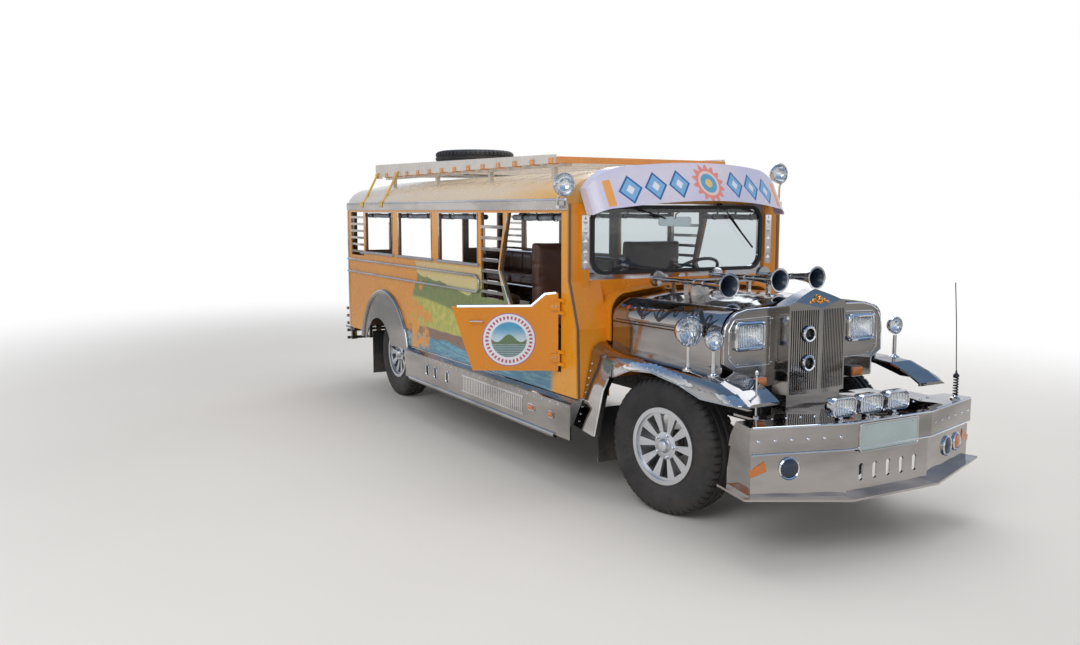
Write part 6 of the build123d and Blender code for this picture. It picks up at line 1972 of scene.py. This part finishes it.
class JEEPNEY_OT_rear(bpy.types.Operator):
    """Entry rails, blank rear plate, step treads and corner guards at the back"""

    bl_idname = "jeepney.rear"
    bl_label = "Rear trim"

    def execute(self, context):
        bright, plate, yellow, rivets = Form(), Form(), Form(), Form()
        x = REAR_X
        for side in (-1, 1):
            y = side * 0.445
            bright.tube([(x + 0.004, y, 0.9), (x - 0.045, y, 0.915), (x - 0.052, y, 0.96), (x - 0.052, y, 1.66),
                         (x - 0.045, y, 1.705), (x + 0.004, y, 1.72)], 0.013, 10)
            for z in (0.9, 1.72):
                bright.lathe((x + 0.002, y, z), (-1, 0, 0), [(0.0, 0.03), (0.008, 0.03), (0.012, 0.02)], 16)
            for near, far in ((0.56, 0.62), (0.84, 0.9)):
                yellow.block((x - 0.066, side * near, 0.47), (x - 0.056, side * far, 0.83))
            for z in [0.98 + 0.1 * index for index in range(9)]:
                rivets.dome((x, side * 0.905, z), (-1, 0, 0), 0.006, 0.004, 8)
        for index in range(9):
            depth = x - 0.016 - 0.0145 * index
            bright.block((depth - 0.004, -0.9, 0.6195), (depth + 0.004, 0.9, 0.624))
        middle = (0.665, 1.04)
        plate.skin(rings_at(x, middle, [(-0.003, 0.39, 0.14, 0.01), (-0.001, 0.39, 0.14, 0.01)]))
        bright.skin(rings_at(x, middle,
                             [(0.0005, 0.412, 0.162, 0.016), (-0.006, 0.408, 0.158, 0.015),
                              (-0.005, 0.394, 0.144, 0.012), (0.0005, 0.392, 0.142, 0.011)]), closed=True)
        bright.tube([(x - 0.004, -0.41, 0.76), (x - 0.004, -0.41, 1.84), (x - 0.004, 0.41, 1.84),
                     (x - 0.004, 0.41, 0.76)], 0.008, 8)
        bright.piece("rear_rails", "polished_tube")
        plate.piece("rear_plate_blank", "plate_white")
        yellow.piece("rear_guard_straps", "guard_yellow", bevel=0.002)
        rivets.piece("rear_rivets", "polished_tube")
        return {"FINISHED"}


def engine_dressing(iron, pipe):
    """Rocker cover, air cleaner, manifold, fan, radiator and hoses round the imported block."""
    iron.block((-0.5, -0.11, 1.086), (0.2, 0.11, 1.15))
    for index in range(6):
        x = -0.44 + 0.115 * index
        iron.block((x - 0.01, -0.118, 1.086), (x + 0.01, 0.118, 1.158))
    iron.lathe((-0.15, 0.0, 1.15), (0, 0, 1),
               [(0.0, 0.05), (0.02, 0.05), (0.024, 0.145), (0.07, 0.145), (0.084, 0.13), (0.086, 0.03),
                (0.096, 0.02), (0.1, 0.002)], 32)
    for index in range(6):
        x = -0.46 + 0.115 * index
        iron.tube([(x, -0.225, 0.98), (x, -0.27, 0.98), (x, -0.29, 0.94)], 0.02, 10)
        iron.dome((x, 0.228, 0.96), (0, 1, 0), 0.022, 0.012, 12)
    iron.tube([(-0.5, -0.29, 0.94), (0.15, -0.29, 0.94)], 0.03, 12)
    iron.lathe((0.255, 0.0, 0.9), (1, 0, 0),
               [(0.0, 0.07), (0.016, 0.07), (0.02, 0.045), (0.046, 0.04), (0.052, 0.001)], 24)
    for index in range(6):
        turn = 2 * math.pi * index / 6
        way = Vector((0, math.cos(turn), math.sin(turn)))
        across = Vector((0, -math.sin(turn), math.cos(turn)))
        root, tip = Vector((0.288, 0, 0.9)) + way * 0.03, Vector((0.288, 0, 0.9)) + way * 0.2
        blade = [root - across * 0.022 - Vector((0.01, 0, 0)), root + across * 0.022 + Vector((0.01, 0, 0)),
                 tip + across * 0.044 + Vector((0.014, 0, 0)), tip - across * 0.044 - Vector((0.014, 0, 0))]
        iron.prism(blade, (0.002, 0, 0))
    iron.block((0.37, -0.3, 0.719), (0.42, 0.3, 0.77))
    iron.block((0.37, -0.3, 1.19), (0.42, 0.3, 1.24))
    for side in (-1, 1):
        iron.block((0.372, side * 0.296 - 0.008, 0.76), (0.418, side * 0.296 + 0.008, 1.2))
    for index in range(58):
        y = -0.285 + 0.01 * index
        iron.block((0.378, y - 0.0015, 0.765), (0.412, y + 0.0015, 1.195))
    pipe.tube([(0.372, 0.18, 1.215), (0.32, 0.18, 1.2), (0.24, 0.12, 1.11), (0.19, 0.08, 1.11)], 0.022, 12)


class JEEPNEY_OT_underbody(bpy.types.Operator):
    """Exhaust, fuel tank, brake pipes, engine dressing, radiator and fan"""

    bl_idname = "jeepney.underbody"
    bl_label = "Engine bay and underbody"

    def execute(self, context):
        pipe, tank, iron, straps = Form(), Form(), Form(), Form()
        pipe.tube([(-0.3, 0.236, 0.78), (-0.4, 0.25, 0.62), (-0.6, 0.225, 0.545), (-1.0, 0.2, 0.52),
                   (-2.7, 0.2, 0.51)], 0.025, 12)
        pipe.lathe((-3.42, 0.2, 0.51), (1, 0, 0),
                   [(0.0, 0.026), (0.01, 0.06), (0.03, 0.08), (0.7, 0.08), (0.72, 0.06), (0.73, 0.026)], 28)
        pipe.tube([(-3.4, 0.2, 0.51), (-3.9, 0.2, 0.53), (-4.2, 0.2, 0.566), (-4.7, 0.2, 0.566),
                   (-5.06, 0.23, 0.54), (-5.24, 0.4, 0.52), (-5.42, 0.42, 0.51)], 0.025, 12)
        for x in (-2.2, -3.0, -3.88, -4.99):
            pipe.tube([(x, 0.2, 0.53), (x, 0.2, 0.625)], 0.006, 6)
        tank.section(TANK_OUTLINE, -3.35, -2.5, True)
        for x in (-3.18, -2.67):
            ring = [(y + (0.004 if y > 0.63 else -0.004), z + (0.004 if z > 0.475 else -0.004))
                    for y, z in TANK_OUTLINE]
            straps.section(ring, x - 0.02, x + 0.02)
            straps.block((x - 0.02, 0.326, 0.58), (x + 0.02, 0.42, 0.606))
            straps.block((x - 0.02, 0.8, 0.57), (x + 0.02, 0.812, 0.722))
        for side in (-1, 1):
            straps.tube([(0.6, side * 0.262, 0.64), (-5.1, side * 0.262, 0.64)], 0.004, 6)
            straps.tube([(-4.45, side * 0.12, 0.56), (-4.4, side * 0.14, 0.48), (-4.4, side * 0.5, 0.475)],
                        0.004, 6)
        engine_dressing(iron, pipe)
        pipe.piece("exhaust", "plate_steel", "body", "cast_iron")
        tank.piece("fuel_tank", "black_paint", bevel=0.004)
        straps.piece("tank_straps_and_pipes", "plate_steel", "body", "frame_steel", 0.001)
        iron.piece("engine_dressing", "engine_iron", bevel=0.003)
        return {"FINISHED"}


class JEEPNEY_OT_wheel_trim(bpy.types.Operator):
    """Hub caps, wheel nuts, valve stems and the bright strips of the mud flaps"""

    bl_idname = "jeepney.wheel_trim"
    bl_label = "Wheel trim"

    def execute(self, context):
        form = Form()
        form.lathe((0, 0, 0), (0, 1, 0),
                   [(0.078, 0.046), (0.084, 0.046), (0.09, 0.04), (0.104, 0.036), (0.109, 0.03), (0.111, 0.014),
                    (0.1115, 0.001), (0.1085, 0.001), (0.1075, 0.029), (0.102, 0.033), (0.088, 0.036),
                    (0.078, 0.042)], 28, closed=True)
        for index in range(5):
            turn = 2 * math.pi * (index + 0.5) / 5
            spot = Vector((math.cos(turn) * 0.07, 0.072, math.sin(turn) * 0.07))
            form.lathe(spot, (0, 1, 0),
                       [(0.0, 0.013), (0.006, 0.013), (0.008, 0.0105), (0.018, 0.0105), (0.022, 0.006),
                        (0.023, 0.001)], 6, smooth=False)
        form.tube([(0.0, 0.08, 0.198), (0.0, 0.098, 0.19), (0.0, 0.116, 0.186)], 0.004, 8)
        repeated(form, "wheel_alloy",
                 [(f"hub_trim_{wheel}", f"{wheel}_wheel", matrix) for wheel, matrix in WHEELS])
        flaps = Form()
        for x, inner, outer, low, high in MUDFLAPS:
            for side in (-1, 1):
                for share in (0.15, 0.5, 0.85):
                    y = side * (inner + (outer - inner) * share)
                    flaps.dome((x, y, high - 0.03), (-1, 0, 0), 0.008, 0.005, 8)
                for bottom, top in ((high - 0.05, high - 0.01), (low, low + 0.025)):
                    flaps.block((x - 0.003, side * inner, bottom), (x, side * outer, top))
        flaps.piece("mudflap_strips", "polished_tube")
        return {"FINISHED"}


class JEEPNEY_PT_panel(bpy.types.Panel):
    """Lists the settings and the pieces"""

    bl_label = "Jeepney"
    bl_idname = "JEEPNEY_PT_panel"
    bl_space_type = "VIEW_3D"
    bl_region_type = "UI"
    bl_category = "Jeepney"

    def draw(self, context):
        layout = self.layout
        for settings in (context.scene.jeepney_colours, context.scene.jeepney_sizes,
                         context.scene.jeepney_stage):
            box = layout.box()
            for name in settings.__annotations__:
                box.prop(settings, name)
        for operator in OPERATORS:
            layout.operator(operator.bl_idname)


SETTINGS = {"jeepney_colours": JeepneyColours, "jeepney_sizes": JeepneySizes, "jeepney_stage": JeepneyStage}
OPERATORS = [JEEPNEY_OT_stage, JEEPNEY_OT_finishes, JEEPNEY_OT_tyres, JEEPNEY_OT_wheel_trim, JEEPNEY_OT_seats,
             JEEPNEY_OT_window_covers, JEEPNEY_OT_lamps, JEEPNEY_OT_nose, JEEPNEY_OT_bumper, JEEPNEY_OT_wings,
             JEEPNEY_OT_side_trim, JEEPNEY_OT_doors, JEEPNEY_OT_screen, JEEPNEY_OT_cabin, JEEPNEY_OT_roof_load,
             JEEPNEY_OT_rear, JEEPNEY_OT_underbody]


def register():
    """Add the settings, operators and panel to Blender."""
    for cls in (*SETTINGS.values(), *OPERATORS, JEEPNEY_PT_panel):
        bpy.utils.register_class(cls)
    for name, group in SETTINGS.items():
        setattr(bpy.types.Scene, name, bpy.props.PointerProperty(type=group))


def unregister():
    """Take them out again."""
    for name in SETTINGS:
        delattr(bpy.types.Scene, name)
    for cls in reversed((*SETTINGS.values(), *OPERATORS, JEEPNEY_PT_panel)):
        bpy.utils.unregister_class(cls)


def main():
    """Build everything in order."""
    register()
    for operator in OPERATORS:
        group, name = operator.bl_idname.split(".")
        getattr(getattr(bpy.ops, group), name)()


if __name__ == "__main__":
    main()
